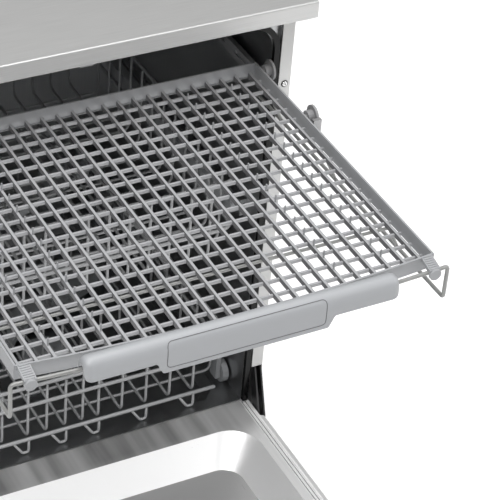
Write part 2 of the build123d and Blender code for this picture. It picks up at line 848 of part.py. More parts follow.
def basin_outline(inset):
    """The plan of the basin, drawn inwards by inset."""
    with BuildSketch(Plane.XY) as plan:
        with BuildLine():
            half = tray_half - inset
            near = tray_front + inset
            far = tray_back - inset
            ThreePointArc((-half, near), (0, near - tray_bow), (half, near))
            Line((half, near), (half, far))
            Line((half, far), (-half, far))
            Line((-half, far), (-half, near))
        make_face()
        chamfer(plan.vertices(), 6 - inset)
    return plan.sketch


with BuildPart() as tray_basin:
    with Locations((0, 0, tray_floor)):
        add(basin_outline(0))
    extrude(amount=tray_wall_height)
    with Locations((0, 0, grid_seat)):
        add(basin_outline(tray_wall))
    extrude(amount=tray_wall_height, mode=Mode.SUBTRACT)
    open_half = tray_half - seat_width
    open_y = (tray_front + seat_width, tray_back - seat_width)
    block((-open_half, open_half), open_y, (tray_floor - 1, grid_seat + 1), Mode.SUBTRACT)
    for hand in (-1, 1):
        tab_x = (hand * clip_x - clip_width / 2, hand * clip_x + clip_width / 2)
        block(tab_x, (clip_front, tray_front + 1), (tray_floor, tray_floor + tab_thickness))
        block(tab_x, (clip_front, clip_front + 3), (tray_floor, tray_floor + clip_height))
finish(tray_basin, "tray_basin")


# Cutlery tray grid: tall ribs from front to back over lower cross bars
rib_count = int(basin_inner * 2 // rib_spacing)
bar_count = int((tray_depth - 20) // bar_spacing)
with BuildPart() as tray_grid:
    for height, width, turned in ((rib_height, rib_width, False), (bar_height, bar_width, True)):
        with BuildSketch(level(grid_seat)):
            centre_y = (tray_front + tray_back) / 2
            with Locations((0, centre_y)):
                if turned:
                    with GridLocations(1, bar_spacing, 1, bar_count):
                        Rectangle(tray_half * 2, width)
                else:
                    with GridLocations(rib_spacing, 1, rib_count, 1):
                        Rectangle(width, tray_depth + tray_bow * 2)
            add(basin_outline(tray_wall), mode=Mode.INTERSECT)
        extrude(amount=height)
finish(tray_grid, "tray_grid")


# Cutlery tray pins: four combs that stand on the cross bars between the outer ribs
outer_rib = (rib_count - 1) / 2 * rib_spacing
pin_places = (outer_rib - rib_spacing / 3, outer_rib - rib_spacing * 4 / 3)
pin_height = 20.0
pin_side = 2.0
comb_height = 2.0
with BuildPart() as tray_pins:
    comb_base = grid_seat + bar_height
    comb_length = (bar_count - 1) * bar_spacing + bar_width
    with BuildSketch(level(comb_base)):
        for place in pin_places:
            with Locations((-place, centre_y), (place, centre_y)):
                Rectangle(pin_side, comb_length)
    extrude(amount=comb_height)
    with BuildSketch(level(comb_base)):
        for place in pin_places:
            with Locations((-place, centre_y), (place, centre_y)):
                with GridLocations(1, bar_spacing, 1, bar_count):
                    Rectangle(pin_side, pin_side)
    extrude(amount=pin_height)
finish(tray_pins, "tray_pins")


# Tray frame: a front hoop, two side wires, cross hoops under the basin, and the roller pins
frame_half = tub_half - 4
hoop_y = tray_front - 19
frame_end = tray_back + 9
frame_bend = 9.0
cross_height = tray_floor - tray_wire - 0.05
cross_places = [tray_front + tray_depth * share for share in (0.193, 0.538, 0.86)]
roller_x = (tray_half + 1.5, tray_half + 9.5, tray_half + 12.5)
roller_places = (front + roller_setback - roller_spacing, front + roller_setback)
pin_radius = 3.0
pin_fit = 0.05
pin_length = roller_x[2] - tray_half + 1.1
cap_thickness = 0.8
cross_rise = 16.0
with BuildPart() as tray_frame:
    joint_height = side_wire_height + frame_bend * 2
    hoop = (
        (-frame_half, joint_height),
        (-frame_half, front_wire_height),
        (frame_half, front_wire_height),
        (frame_half, joint_height),
    )
    wires = [bent_wire(upright(hoop_y), hoop, frame_bend, tray_wire)]
    for hand in (-1, 1):
        run = ((hoop_y, joint_height), (hoop_y, side_wire_height), (frame_end, side_wire_height))
        wires.append(bent_wire(sideways(hand * frame_half), run, frame_bend, tray_wire))
    for place in cross_places:
        legs = (
            (-frame_half, side_wire_height),
            (cross_rise - frame_half, cross_height),
            (frame_half - cross_rise, cross_height),
            (frame_half, side_wire_height),
        )
        wires.append(bent_wire(upright(place), legs, 6, tray_wire))
    end_place = [(frame_end - tray_wire, side_wire_height)]
    wires.append(straight_wires(sideways(-frame_half), end_place, frame_half * 2, tray_wire))
    add(wires)
    for hand in (-1, 1):
        pin_ends = [(place, roller_height) for place in roller_places]
        with BuildSketch(sideways(hand * tray_half)):
            with Locations(*pin_ends):
                disc(pin_radius)
        extrude(amount=hand * pin_length)
        with BuildSketch(sideways(hand * (roller_x[2] + seat_gap))):
            with Locations(*pin_ends):
                disc(pin_radius + 2)
        extrude(amount=hand * cap_thickness)
finish(tray_frame, "tray_frame")


# Tray rollers: each pair shares an axis, with a hub that runs on the rail and a guiding flange
for name, place in zip(("front", "rear"), roller_places):
    with BuildPart() as rollers:
        with BuildSketch(sideways(roller_x[0])):
            with Locations((place, roller_height)):
                disc(roller_hub)
        extrude(amount=roller_x[1] - roller_x[0])
        with BuildSketch(sideways(roller_x[1])):
            with Locations((place, roller_height)):
                disc(roller_flange)
        extrude(amount=roller_x[2] - roller_x[1])
        with BuildSketch(sideways(roller_x[0])):
            with Locations((place, roller_height)):
                bore(pin_radius + pin_fit)
        extrude(amount=roller_x[2] - roller_x[0], mode=Mode.SUBTRACT)
        mirror(about=Plane.YZ)
    finish(rollers, f"tray_rollers_{name}")


# Tray handle: a bowed shell hooked over the front wall, deeper in the middle
handle_half = tray_half - 65.5
handle_grip_half = handle_half - 87
handle_top = tray_top + 9
handle_low = tray_top - 33
handle_end_low = (tray_top - 15, tray_top - 13)
handle_reach = 41.0
handle_wall = 3.0
handle_edge_radius = 2.5
grip_slope = 17.0
bow_radius = (tray_half**2 + tray_bow**2) / (2 * tray_bow)


def bowed(x, reach):
    """The depth of the handle's curve at x, with its middle at reach before the tray's corners."""
    return tray_front - reach + bow_radius - math.sqrt(bow_radius**2 - x**2)


def bowed_strip(half, outer, inner):
    """A plan strip between two of the handle's curves."""
    with BuildSketch(Plane.XY) as strip:
        with BuildLine():
            curves = []
            for reach in (outer, inner):
                ends = bowed(half, reach)
                curves.append(ThreePointArc((-half, ends), (0, bowed(0, reach)), (half, ends)))
            Line(curves[0] @ 0, curves[1] @ 0)
            Line(curves[0] @ 1, curves[1] @ 1)
        make_face()
    return strip.sketch


wall_reach = tray_bow
with BuildPart() as tray_handle:
    with Locations((0, 0, handle_low)):
        add(bowed_strip(handle_half, handle_reach, wall_reach))
    extrude(amount=handle_top - handle_low)
    top_front = tray_handle.edges().group_by(Axis.Z)[-1].sort_by(Axis.Y)[0]
    fillet(top_front, handle_edge_radius)
    with Locations((0, 0, handle_low)):
        add(bowed_strip(handle_half - handle_wall, handle_reach - handle_wall, wall_reach + tray_wall))
    extrude(amount=handle_top - handle_wall - handle_low, mode=Mode.SUBTRACT)
    with BuildSketch(upright(tray_front + tray_bow)):
        with BuildLine():
            Polyline(
                (handle_grip_half, handle_low - 1),
                (handle_grip_half + grip_slope, handle_end_low[0]),
                (handle_half + 1, handle_end_low[1]),
                (handle_half + 1, handle_low - 1),
                close=True,
            )
        make_face()
        mirror(about=Plane.YZ)
    extrude(amount=handle_reach * 2, mode=Mode.SUBTRACT)
finish(tray_handle, "tray_handle")

plate_thickness = 0.8
plate_z = (handle_low + 5.5, handle_top - 4)
with BuildPart() as handle_plate:
    with Locations((0, 0, plate_z[0])):
        add(bowed_strip(handle_grip_half - 8, handle_reach + plate_thickness, handle_reach))
    extrude(amount=plate_z[1] - plate_z[0])
finish(handle_plate, "handle_plate")


# Tray rails: floating slides that carry the rollers, with a tongue in the fixed guides
rail_x = (tray_half + 2, tray_half + 8.5)
rail_height = 19.7
rail_slot = (80.0, 6.0, 2.5)
rail_y = (front - 130, front + 320)
rail_top = roller_height - roller_hub - seat_gap
rail_bottom = rail_top - rail_height
tongue_z = (rail_bottom + 4, rail_bottom + 8)
tongue_end = tub_half - 2.4
guide_gap = 0.4
guide_z = (rail_bottom - 2, tongue_z[1] + 5)
with BuildPart() as tray_rail_right:
    block(rail_x, rail_y, (rail_bottom, rail_top))
    block((rail_x[1], tongue_end), rail_y, tongue_z)
    stop_y = (rail_y[0], roller_places[0] - roller_flange - seat_gap)
    block((rail_x[0], tub_half - 1.5), stop_y, (guide_z[1] + guide_gap, rail_top + 13))
    with BuildSketch(sideways(rail_x[0] - 1)):
        with Locations((sum(rail_y) / 2, (rail_bottom + rail_top) / 2 + 2)):
            with GridLocations(rail_slot[0] + 30, 1, 4, 1):
                Rectangle(*rail_slot[:2])
    extrude(amount=rail_slot[2], mode=Mode.SUBTRACT)
finish(tray_rail_right, "tray_rail_right")
mirrored(tray_rail_right, "tray_rail_left")

guide_y = (front + 52, tub_back - 13)
with BuildPart() as tray_guides:
    block((rail_x[1] + 0.5, tub_half), guide_y, guide_z)
    slot_z = (tongue_z[0] - guide_gap, tongue_z[1] + guide_gap)
    block((rail_x[1], tongue_end + guide_gap), guide_y, slot_z, Mode.SUBTRACT)
    mirror(about=Plane.YZ)
finish(tray_guides, "tray_guides")


# Racks: baskets of drawn wire with level rims, upright hoops and a low frame
rack_bend = 6.0
rim_bend = 20.0
weld_step = 2.6
rim_step = 3.0


def basket(across, along, floor_height, rims, half):
    """The wires of one basket: hoops both ways, one over the other, inside a loop at each rim."""
    wires = []
    top = rims[-1]
    for place in across:
        hoop = ((-half, top), (-half, floor_height), (half, floor_height), (half, top))
        wires.append(bent_wire(upright(place), hoop, rack_bend, thin_wire))
    for place in along:
        raised = floor_height + weld_step
        hoop = ((rack_y[0], top), (rack_y[0], raised), (rack_y[1], raised), (rack_y[1], top))
        wires.append(bent_wire(sideways(place), hoop, rack_bend, thin_wire))
    near, far, reach = rack_y[0] - rim_step, rack_y[1] + rim_step, half + rim_step
    for height in rims:
        loop = ((-reach, near), (reach, near), (reach, far), (-reach, far))
        wires.append(bent_wire(level(height), loop, rim_bend, frame_wire, close=True))
    return wires


hoop_columns = [rack_half_width * share for share in column_shares]
lower_rows = [rack_y[0] + rack_depth * share for share in lower_row_shares]
tine_columns = [rack_half_width * share for share in tine_shares]
tine_bar_half = rack_half_width - 42
fixed_row = rack_y[0] + rack_depth * tine_row_shares[1]
with BuildPart() as lower_rack:
    wires = basket(lower_rows, hoop_columns, lower_rack_floor, lower_rack_rims, rack_half_width)
    tines = [(place, fixed_row) for place in tine_columns]
    tine_base = lower_rack_floor + weld_step * 2
    bar = [(fixed_row, tine_base)]
    wires.append(straight_wires(sideways(-tine_bar_half), bar, tine_bar_half * 2, thin_wire))
    wires.append(straight_wires(level(tine_base), tines, tine_height, thin_wire))
    add(wires)
finish(lower_rack, "lower_rack")


# Front wire of the lower rack: one wire bent into shallow feet, before the hoops
foot_height = track_height + 4.8
foot_top = lower_rack_floor + weld_step
foot_y = rack_y[0] - thin_wire * 2 - 0.1
foot_reach = (12.0, 20.0)
foot_wire_half = rack_half_width - 12
with BuildPart() as lower_rack_feet:
    route = [(-foot_wire_half, foot_top)]
    for place in [rack_half_width * share for share in foot_shares]:
        route.append((place - foot_reach[1], foot_top))
        route.append((place - foot_reach[0], foot_height))
        route.append((place + foot_reach[0], foot_height))
        route.append((place + foot_reach[1], foot_top))
    route.append((foot_wire_half, foot_top))
    add(bent_wire(upright(foot_y), route, 2, thin_wire))
finish(lower_rack_feet, "lower_rack_feet")


# Folding tines: a row that turns on a low bar
tine_bar_height = lower_rack_floor + weld_step + thin_wire * 2 + 0.6
tine_row = rack_y[0] + rack_depth * tine_row_shares[0]
folding_bar_half = rack_half_width - 55
with BuildPart() as lower_tines:
    tines = [(place, tine_row) for place in tine_columns]
    bar = [(tine_row, tine_bar_height)]
    wires = [straight_wires(sideways(-folding_bar_half), bar, folding_bar_half * 2, thin_wire)]
    wires.append(straight_wires(level(tine_bar_height), tines, tine_height, thin_wire))
    add(wires)
finish(lower_tines, "lower_tines")


# Lower rack wheels and their carriers
wheel_x = (tub_half - 2.5 - wheel_width, tub_half - 2.5)
wheel_height = track_height + seat_gap + wheel_radius
wheel_places = (rack_y[0] + 35, rack_y[1] - 43)
carrier_x = (rack_half_width + rim_step + frame_wire, wheel_x[0] - 0.6)
carrier_half = 9.0
carrier_z = (wheel_height - 8, lower_rack_rims[0] + 6)
with BuildPart() as wheel_carriers:
    for place in wheel_places:
        block(carrier_x, (place - carrier_half, place + carrier_half), carrier_z)
        with BuildSketch(sideways(carrier_x[1])):
            with Locations((place, wheel_height)):
                disc(pin_radius)
        extrude(amount=wheel_x[1] - carrier_x[1] + 0.4)
    mirror(about=Plane.YZ)
finish(wheel_carriers, "wheel_carriers")

for name, place in zip(("front", "rear"), wheel_places):
    with BuildPart() as wheels:
        with BuildSketch(sideways(wheel_x[0])):
            with Locations((place, wheel_height)):
                disc(wheel_radius)
                bore(pin_radius + pin_fit, Mode.SUBTRACT)
        extrude(amount=wheel_width)
        mirror(about=Plane.YZ)
    finish(wheels, f"lower_wheels_{name}")


# Upper rack with its runners, fixed rails and the pipe that feeds its spray arm
upper_half = rack_half_width - 4
upper_side = upper_half + rim_step + frame_wire
upper_rows = [rack_y[0] + rack_depth * share for share in upper_row_shares]
with BuildPart() as upper_rack:
    add(basket(upper_rows, hoop_columns[1:-1], upper_rack_floor, upper_rack_rims, upper_half))
finish(upper_rack, "upper_rack")

runner_x = (upper_side + 2, tub_half - 2.1)
runner_y = (rack_y[0] + 19, rack_y[1] + 3)
runner_z = (upper_rack_rims[0] + 8, upper_rack_rims[0] + 22)
bracket_width = 40.0
bracket_z = (upper_rack_rims[0] - 8, runner_z[1])
with BuildPart() as upper_runners:
    block(runner_x, runner_y, runner_z)
    for place in (runner_y[0] + 66, runner_y[1] - 56 - bracket_width):
        block((upper_side, runner_x[0]), (place, place + bracket_width), bracket_z)
    mirror(about=Plane.YZ)
finish(upper_runners, "upper_runners")

with BuildPart() as upper_rails:
    rail_end_y = (runner_y[0] - 4, runner_y[1] + 4)
    block((runner_x[1] - 7, tub_half), rail_end_y, (runner_z[0] - 6, runner_z[1] + 6))
    slot_z = (runner_z[0] - guide_gap, runner_z[1] + guide_gap)
    slot_x = (runner_x[0] - 1, runner_x[1] + guide_gap)
    block(slot_x, (rail_end_y[0] - 1, rail_end_y[1] + 1), slot_z, Mode.SUBTRACT)
    mirror(about=Plane.YZ)
finish(upper_rails, "upper_rails")

pipe_radius = 8.0
pipe_height = upper_rack_floor - thin_wire - pipe_radius - 2
upper_arm_z = (pipe_height - 28, pipe_height - 16)
arm_pin = 7.0
arm_fit = 0.06
with BuildPart() as upper_feed_pipe:
    with BuildSketch(upright(rack_y[1] - 2)):
        with Locations((0, pipe_height)):
            disc(pipe_radius)
    extrude(amount=rack_y[1] - 2 - tub_middle)
    with BuildSketch(level(upper_arm_z[0] - 0.3)):
        with Locations((0, tub_middle)):
            disc(arm_pin)
    extrude(amount=pipe_height - upper_arm_z[0])
    with BuildSketch(level(upper_arm_z[1] + 0.3)):
        with Locations((0, tub_middle)):
            disc(arm_pin + 6)
    extrude(amount=pipe_height - upper_arm_z[1])
    with BuildSketch(level(upper_arm_z[0] - 3.3)):
        with Locations((0, tub_middle)):
            disc(arm_pin + 4)
    extrude(amount=3)
finish(upper_feed_pipe, "upper_feed_pipe")


def blade(reach, hub, tip, thickness):
    """A flat two-bladed arm round the tub's middle, from the plane in hand upwards."""
    with BuildSketch(Plane.XY) as plan:
        with Locations((0, 0)):
            disc(hub)
        with BuildLine():
            Polyline(
                (0, hub * 0.8),
                (reach - tip, tip),
                (reach - tip, -tip),
                (0, -hub * 0.8),
                (tip - reach, -tip),
                (tip - reach, tip),
                close=True,
            )
        make_face()
        with Locations((reach - tip, 0), (tip - reach, 0)):
            disc(tip)
    return extrude(plan.sketch, amount=thickness, mode=Mode.PRIVATE)


# Spray arms: hollow-looking blades with rows of jet slots, each free on its pin
arm_turn = 24.0
arms = {
    "lower": (track_height + 0.9, 13.0, tub_half - 52, 28.0, 20.0, 10.0),
    "upper": (upper_arm_z[0], 12.0, tub_half - 87, 24.0, 17.0, arm_pin),
    "ceiling": (tub_top - 32, 10.0, 120.0, 18.0, 12.0, 6.0),
}
for name, (bottom, thickness, reach, hub, tip, pin) in arms.items():
    with BuildPart() as arm:
        with Locations(Location((0, tub_middle, bottom), (0, 0, arm_turn))):
            add(blade(reach, hub, tip, thickness))
        with BuildSketch(level(bottom)):
            with Locations((0, tub_middle)):
                bore(pin + arm_fit)
        extrude(amount=thickness, mode=Mode.SUBTRACT)
        with BuildSketch(level(bottom + thickness)):
            for step in (0.5, 0.85):
                with Locations((0, tub_middle)):
                    with PolarLocations(reach * step, 2, start_angle=arm_turn):
                        Rectangle(3, 12)
        extrude(amount=-3, mode=Mode.SUBTRACT)
    finish(arm, f"{name}_spray_arm")


# Sump: a bowl under the tub with the tower that carries the lower arm
bowl_radius = 110.0
bowl_bottom = 92.0
bowl_wall = 3.0
flange_z = (tub_floor - tub_wall - 1.2, tub_floor - tub_wall)
tower_radius = 16.0
lower_pin = 10.0
pump_height = 90.0
with BuildPart() as sump:
    with BuildSketch(level(flange_z[0])):
        with Locations((0, tub_middle)):
            disc(sump_radius + 10)
    extrude(amount=flange_z[1] - flange_z[0])
    with BuildSketch(level(bowl_bottom)):
        with Locations((0, tub_middle)):
            disc(bowl_radius)
    extrude(amount=flange_z[0] - bowl_bottom)
    with BuildSketch(level(bowl_bottom + bowl_wall)):
        with Locations((0, tub_middle)):
            disc(bowl_radius - bowl_wall)
    extrude(amount=flange_z[1] - bowl_bottom, mode=Mode.SUBTRACT)
    for radius, bottom, top in (
        (tower_radius, bowl_bottom, arms["lower"][0] - 0.4),
        (lower_pin, bowl_bottom, arms["lower"][0] + arms["lower"][1] + 0.4),
        (lower_pin + 4, arms["lower"][0] + arms["lower"][1] + 0.4, arms["lower"][0] + 17),
    ):
        with BuildSketch(level(bottom)):
            with Locations((0, tub_middle)):
                disc(radius)
        extrude(amount=top - bottom)
    for reach, depth in ((-bowl_radius - 15, tub_middle), (bowl_radius + 15, tub_middle - 28)):
        with BuildSketch(sideways(math.copysign(bowl_radius - 12, reach))):
            with Locations((depth, bowl_bottom + 20)):
                disc(14)
        extrude(amount=math.copysign(27, reach))
finish(sump, "sump")


# Filters: a flat plate with two openings and a cylinder that twists into the larger one
cylinder_place = (62.0, tub_middle - 40)
cylinder_radius = 30.0
filter_z = (flange_z[1], flange_z[1] + 1.5)
with BuildPart() as filter_plate:
    with BuildSketch(level(filter_z[0])):
        with Locations((0, tub_middle)):
            disc(sump_radius - 0.5)
            bore(tower_radius + 1, Mode.SUBTRACT)
        with Locations(cylinder_place):
            bore(cylinder_radius + 3, Mode.SUBTRACT)
        with Locations((0, tub_middle)):
            with PolarLocations(62, 4, start_angle=20, angular_range=200):
                Rectangle(44, 5, mode=Mode.SUBTRACT)
    extrude(amount=filter_z[1] - filter_z[0])
finish(filter_plate, "filter_plate")

cylinder_bottom = bowl_bottom + bowl_wall + 4
with BuildPart() as filter_cylinder:
    with BuildSketch(level(cylinder_bottom)):
        with Locations(cylinder_place):
            disc(cylinder_radius)
    extrude(amount=filter_z[1] + 0.4 - cylinder_bottom)
    with BuildSketch(level(filter_z[1] + 0.4)):
        with Locations(cylinder_place):
            disc(cylinder_radius + 8)
    extrude(amount=4)
    with BuildSketch(level(filter_z[1] + 4.4)):
        with Locations(cylinder_place):
            disc(cylinder_radius - 4)
            Rectangle(6, 60, mode=Mode.SUBTRACT)
    extrude(amount=6)
finish(filter_cylinder, "filter_cylinder")


# Pumps: the circulation pump to the left of the sump and the drain pump to the right
drain_y = tub_middle - 28
drain_height = pump_height + 6
pipe_end = bowl_radius + 15
pump_stages = (
    (38.0, -pipe_end - 133, -pipe_end - 40, tub_middle, pump_height),
    (28.0, -pipe_end - 40, -pipe_end, tub_middle, pump_height),
    (24.0, pipe_end + 11, pipe_end + 71, drain_y, drain_height),
    (18.0, pipe_end, pipe_end + 11, drain_y, drain_height),
)
leg_half = 5.0
with BuildPart() as pumps:
    for radius, start, end, depth, height in pump_stages:
        with BuildSketch(sideways(start)):
            with Locations((depth, height)):
                disc(radius)
        extrude(amount=end - start)
    for radius, start, end, depth, height in pump_stages[::2]:
        centre = (start + end) / 2
        leg_x = (centre - leg_half, centre + leg_half)
        leg_y = (depth - radius * 0.6, depth + radius * 0.6)
        block(leg_x, leg_y, (base_floor, height))
finish(pumps, "pumps")


# Softener: a salt tank under the tub, with a neck that comes up through the floor
softener_x_range = (softener_x - 65, softener_x + 58)
softener_y_range = (softener_y - 65, softener_y + 62)
softener_z = (base_floor, tub_floor - 10)
softener_corner = 8.0
neck_wall = 3.0
with BuildPart() as softener:
    block(softener_x_range, softener_y_range, softener_z)
    chamfer(softener.edges().filter_by(Axis.Z), softener_corner)
    with BuildSketch(level(softener_z[1])):
        with Locations((softener_x, softener_y)):
            disc(neck_radius)
            bore(neck_radius - neck_wall, Mode.SUBTRACT)
    extrude(amount=tub_floor + 0.6 - softener_z[1])
    with BuildSketch(level(softener_z[0] + neck_wall)):
        with Locations((softener_x, softener_y)):
            disc(neck_radius - neck_wall)
    extrude(amount=tub_floor - softener_z[0], mode=Mode.SUBTRACT)
finish(softener, "softener")

salt_cap_z = (tub_floor + 1, tub_floor + 8)
salt_grip = (60.0, 10.0, 6.0)
plug_depth = 9.0
with BuildPart() as salt_cap:
    with BuildSketch(level(salt_cap_z[0])):
        with Locations((softener_x, softener_y)):
            disc(neck_radius + 5)
    extrude(amount=salt_cap_z[1] - salt_cap_z[0])
    with BuildSketch(level(salt_cap_z[1])):
        with Locations((softener_x, softener_y)):
            Rectangle(*salt_grip[:2])
    extrude(amount=salt_grip[2])
    with BuildSketch(level(salt_cap_z[0] - plug_depth)):
        with Locations((softener_x, softener_y)):
            disc(neck_radius - neck_wall - 1)
    extrude(amount=plug_depth)
finish(salt_cap, "salt_cap")


# Water jacket: a flat heat-exchange tank between the tub and the left side panel
jacket_x = (1.2 - side + sheet, -tub_half - tub_wall - 1.3)
jacket_y = (front + 120, front + 420)
jacket_z = (post_bottom - 7, cabinet_top - 186)
jacket_corner = 18.0
jacket_cell = (60.0, 80.0, 3.0)
with BuildPart() as water_jacket:
    block(jacket_x, jacket_y, jacket_z)
    chamfer(water_jacket.edges().filter_by(Axis.X), jacket_corner)
    with BuildSketch(sideways(jacket_x[0])):
        with Locations((sum(jacket_y) / 2, sum(jacket_z) / 2)):
            with GridLocations(jacket_cell[0] + 30, jacket_cell[1] + 40, 3, 3):
                Rectangle(*jacket_cell[:2])
    extrude(amount=jacket_cell[2], mode=Mode.SUBTRACT)
finish(water_jacket, "water_jacket")


# Feed duct: a flat pipe up the back of the tub and along its ceiling
duct_half = 20.0
duct_y = tub_back - 14
ceiling_z = (tub_top - 16, tub_top - 2)
ceiling_pin = arms["ceiling"][5]
with BuildPart() as feed_duct:
    with BuildSketch(sideways(-duct_half)):
        with BuildLine():
            Polyline(
                (tub_back, track_height + 8),
                (tub_back, ceiling_z[1] - 6),
                (tub_back - 6, ceiling_z[1]),
                (tub_middle - 16, ceiling_z[1]),
                (tub_middle - 16, ceiling_z[0]),
                (duct_y, ceiling_z[0]),
                (duct_y, pipe_height + 10),
                (rack_y[1] + 4, pipe_height + 10),
                (rack_y[1] + 4, pipe_height - 10),
                (duct_y, pipe_height - 10),
                (duct_y, track_height + 5),
                (duct_y - 15, track_height - 3),
                (tub_middle + sump_radius + 4, track_height - 3),
                (tub_middle + sump_radius + 4, tub_floor + 2.5),
                (duct_y - 22, tub_floor + 2.5),
                (duct_y - 4, track_height + 0.6),
                (tub_back - 6, track_height + 0.6),
                close=True,
            )
        make_face()
    extrude(amount=duct_half * 2)
    arm_bottom, arm_height = arms["ceiling"][:2]
    for radius, bottom, top in (
        (ceiling_pin, arm_bottom - 0.3, ceiling_z[0]),
        (ceiling_pin + 6, arm_bottom + arm_height + 0.3, ceiling_z[0]),
        (ceiling_pin + 4, arm_bottom - 3.3, arm_bottom - 0.3),
    ):
        with BuildSketch(level(bottom)):
            with Locations((0, tub_middle)):
                disc(radius)
        extrude(amount=top - bottom)
finish(feed_duct, "feed_duct")
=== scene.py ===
import json
import math

import bpy
from mathutils import Matrix, Vector


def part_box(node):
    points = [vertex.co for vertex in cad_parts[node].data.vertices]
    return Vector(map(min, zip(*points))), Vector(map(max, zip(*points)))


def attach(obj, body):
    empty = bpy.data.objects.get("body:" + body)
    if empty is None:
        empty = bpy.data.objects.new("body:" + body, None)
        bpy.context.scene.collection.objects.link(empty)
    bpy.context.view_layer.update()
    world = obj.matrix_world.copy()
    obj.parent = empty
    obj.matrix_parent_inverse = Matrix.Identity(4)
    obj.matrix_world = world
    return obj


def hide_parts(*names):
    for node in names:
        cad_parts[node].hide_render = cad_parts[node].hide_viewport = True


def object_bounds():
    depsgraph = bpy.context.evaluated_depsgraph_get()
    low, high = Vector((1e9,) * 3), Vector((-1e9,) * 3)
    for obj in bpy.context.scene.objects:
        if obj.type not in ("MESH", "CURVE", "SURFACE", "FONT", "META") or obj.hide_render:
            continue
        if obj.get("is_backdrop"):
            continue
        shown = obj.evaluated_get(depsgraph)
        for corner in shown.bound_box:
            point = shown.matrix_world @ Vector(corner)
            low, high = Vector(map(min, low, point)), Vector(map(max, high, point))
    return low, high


# A free-standing dishwasher with its door down and its cutlery tray drawn out.
# The frame is in metres: X to the right, Y to the back, Z up, the origin between the feet.

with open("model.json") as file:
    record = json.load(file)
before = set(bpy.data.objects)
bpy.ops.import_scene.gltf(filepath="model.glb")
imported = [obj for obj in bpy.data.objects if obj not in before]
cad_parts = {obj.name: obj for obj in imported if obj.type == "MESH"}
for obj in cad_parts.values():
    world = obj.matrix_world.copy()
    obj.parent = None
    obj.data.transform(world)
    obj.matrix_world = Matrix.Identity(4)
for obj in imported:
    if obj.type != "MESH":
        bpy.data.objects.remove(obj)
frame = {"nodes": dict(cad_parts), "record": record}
nodes = frame["nodes"]
start_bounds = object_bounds()


# Shapes

CURVE_STEPS = 5
EASE_ANGLE = math.radians(38)
EASE_SEGMENTS = 2
EDGE_SHARE = 0.45


class Shape:
    """Collects the points and faces of one piece."""

    def __init__(self):
        self.points = []
        self.faces = []

    def add(self, points, faces):
        start = len(self.points)
        self.points += [Vector(point) for point in points]
        self.faces += [[start + index for index in face] for face in faces]

    def box(self, low, high):
        corners = [(x, y, z) for x in (low[0], high[0]) for y in (low[1], high[1]) for z in (low[2], high[2])]
        self.add(
            corners,
            [(0, 1, 3, 2), (4, 6, 7, 5), (0, 4, 5, 1), (2, 3, 7, 6), (0, 2, 6, 4), (1, 5, 7, 3)],
        )

    def rings(self, rings, closed=False):
        """Joins rings of equally many points into a skin, with a cap at each end where it is open."""
        count = len(rings[0])
        points = [point for ring in rings for point in ring]
        faces = []
        steps = len(rings) if closed else len(rings) - 1
        for step in range(steps):
            here, there = step * count, ((step + 1) % len(rings)) * count
            for index in range(count):
                following = (index + 1) % count
                faces.append((here + index, here + following, there + following, there + index))
        if not closed:
            faces.append(tuple(reversed(range(count))))
            faces.append(tuple((len(rings) - 1) * count + index for index in range(count)))
        self.add(points, faces)

    def tube(self, route, radius, sides=12, closed=False):
        """A round wire along a route, kept from twisting."""
        route = [Vector(point) for point in route]
        count = len(route)
        along = []
        for index in range(count):
            before = route[index - 1] if closed or index else route[0]
            after = route[(index + 1) % count] if closed or index + 1 < count else route[-1]
            along.append((after - before).normalized())
        across = along[0].orthogonal().normalized()
        rings = []
        for centre, ahead in zip(route, along):
            across = (across - ahead * across.dot(ahead)).normalized()
            rings.append(circle(centre, across, ahead.cross(across), radius, sides))
        self.rings(rings, closed=closed)

    def turned(self, profile, centre, axis, sides, closed=False):
        """A profile of (radius, distance along the axis) turned about the axis."""
        axis = Vector(axis).normalized()
        across = axis.orthogonal().normalized()
        up = axis.cross(across)
        centre = Vector(centre)
        rings = [circle(centre + axis * along, across, up, radius, sides) for radius, along in profile]
        self.rings(rings, closed=closed)


def circle(centre, across, up, radius, sides):
    turns = [2 * math.pi * side / sides for side in range(sides)]
    return [centre + (across * math.cos(t) + up * math.sin(t)) * radius for t in turns]


def rounded(points, radius, closed=False, steps=CURVE_STEPS):
    """A route whose corners are eased with arcs of about the given radius."""
    points = [Vector(point) for point in points]
    count = len(points)
    route = []
    for index, corner in enumerate(points):
        if not closed and index in (0, count - 1):
            route.append(corner)
            continue
        before = points[index - 1] - corner
        after = points[(index + 1) % count] - corner
        angle = before.angle(after)
        reach = min(radius / math.tan(angle / 2), before.length * EDGE_SHARE, after.length * EDGE_SHARE)
        first = corner + before.normalized() * reach
        last = corner + after.normalized() * reach
        for step in range(steps + 1):
            share = step / steps
            route.append(first * (1 - share) ** 2 + corner * 2 * share * (1 - share) + last * share**2)
    return route


def evenly(start, end, count):
    return [start + (end - start) * index / (count - 1) for index in range(count)]


def piece(shape, name, material, body, replaces=(), bevel=0.0):
    """Makes a mesh of a shape, gives it its finish and lets it ride on a body."""
    mesh = bpy.data.meshes.new(name)
    mesh.from_pydata([tuple(point) for point in shape.points], [], shape.faces)
    mesh.validate()
    mesh.update()
    thing = bpy.data.objects.new(name, mesh)
    bpy.context.scene.collection.objects.link(thing)
    mesh.materials.append(material)
    soften(thing, bevel)
    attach(thing, body)
    if replaces:
        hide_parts(*replaces)


def soften(thing, bevel):
    """Shades a piece smooth and eases its sharp edges."""
    for face in thing.data.polygons:
        face.use_smooth = True
    if bevel:
        ease = thing.modifiers.new("eased edges", "BEVEL")
        ease.width = bevel
        ease.segments = EASE_SEGMENTS
        ease.limit_method = "ANGLE"
        ease.angle_limit = EASE_ANGLE
        ease.harden_normals = True


# Finishes

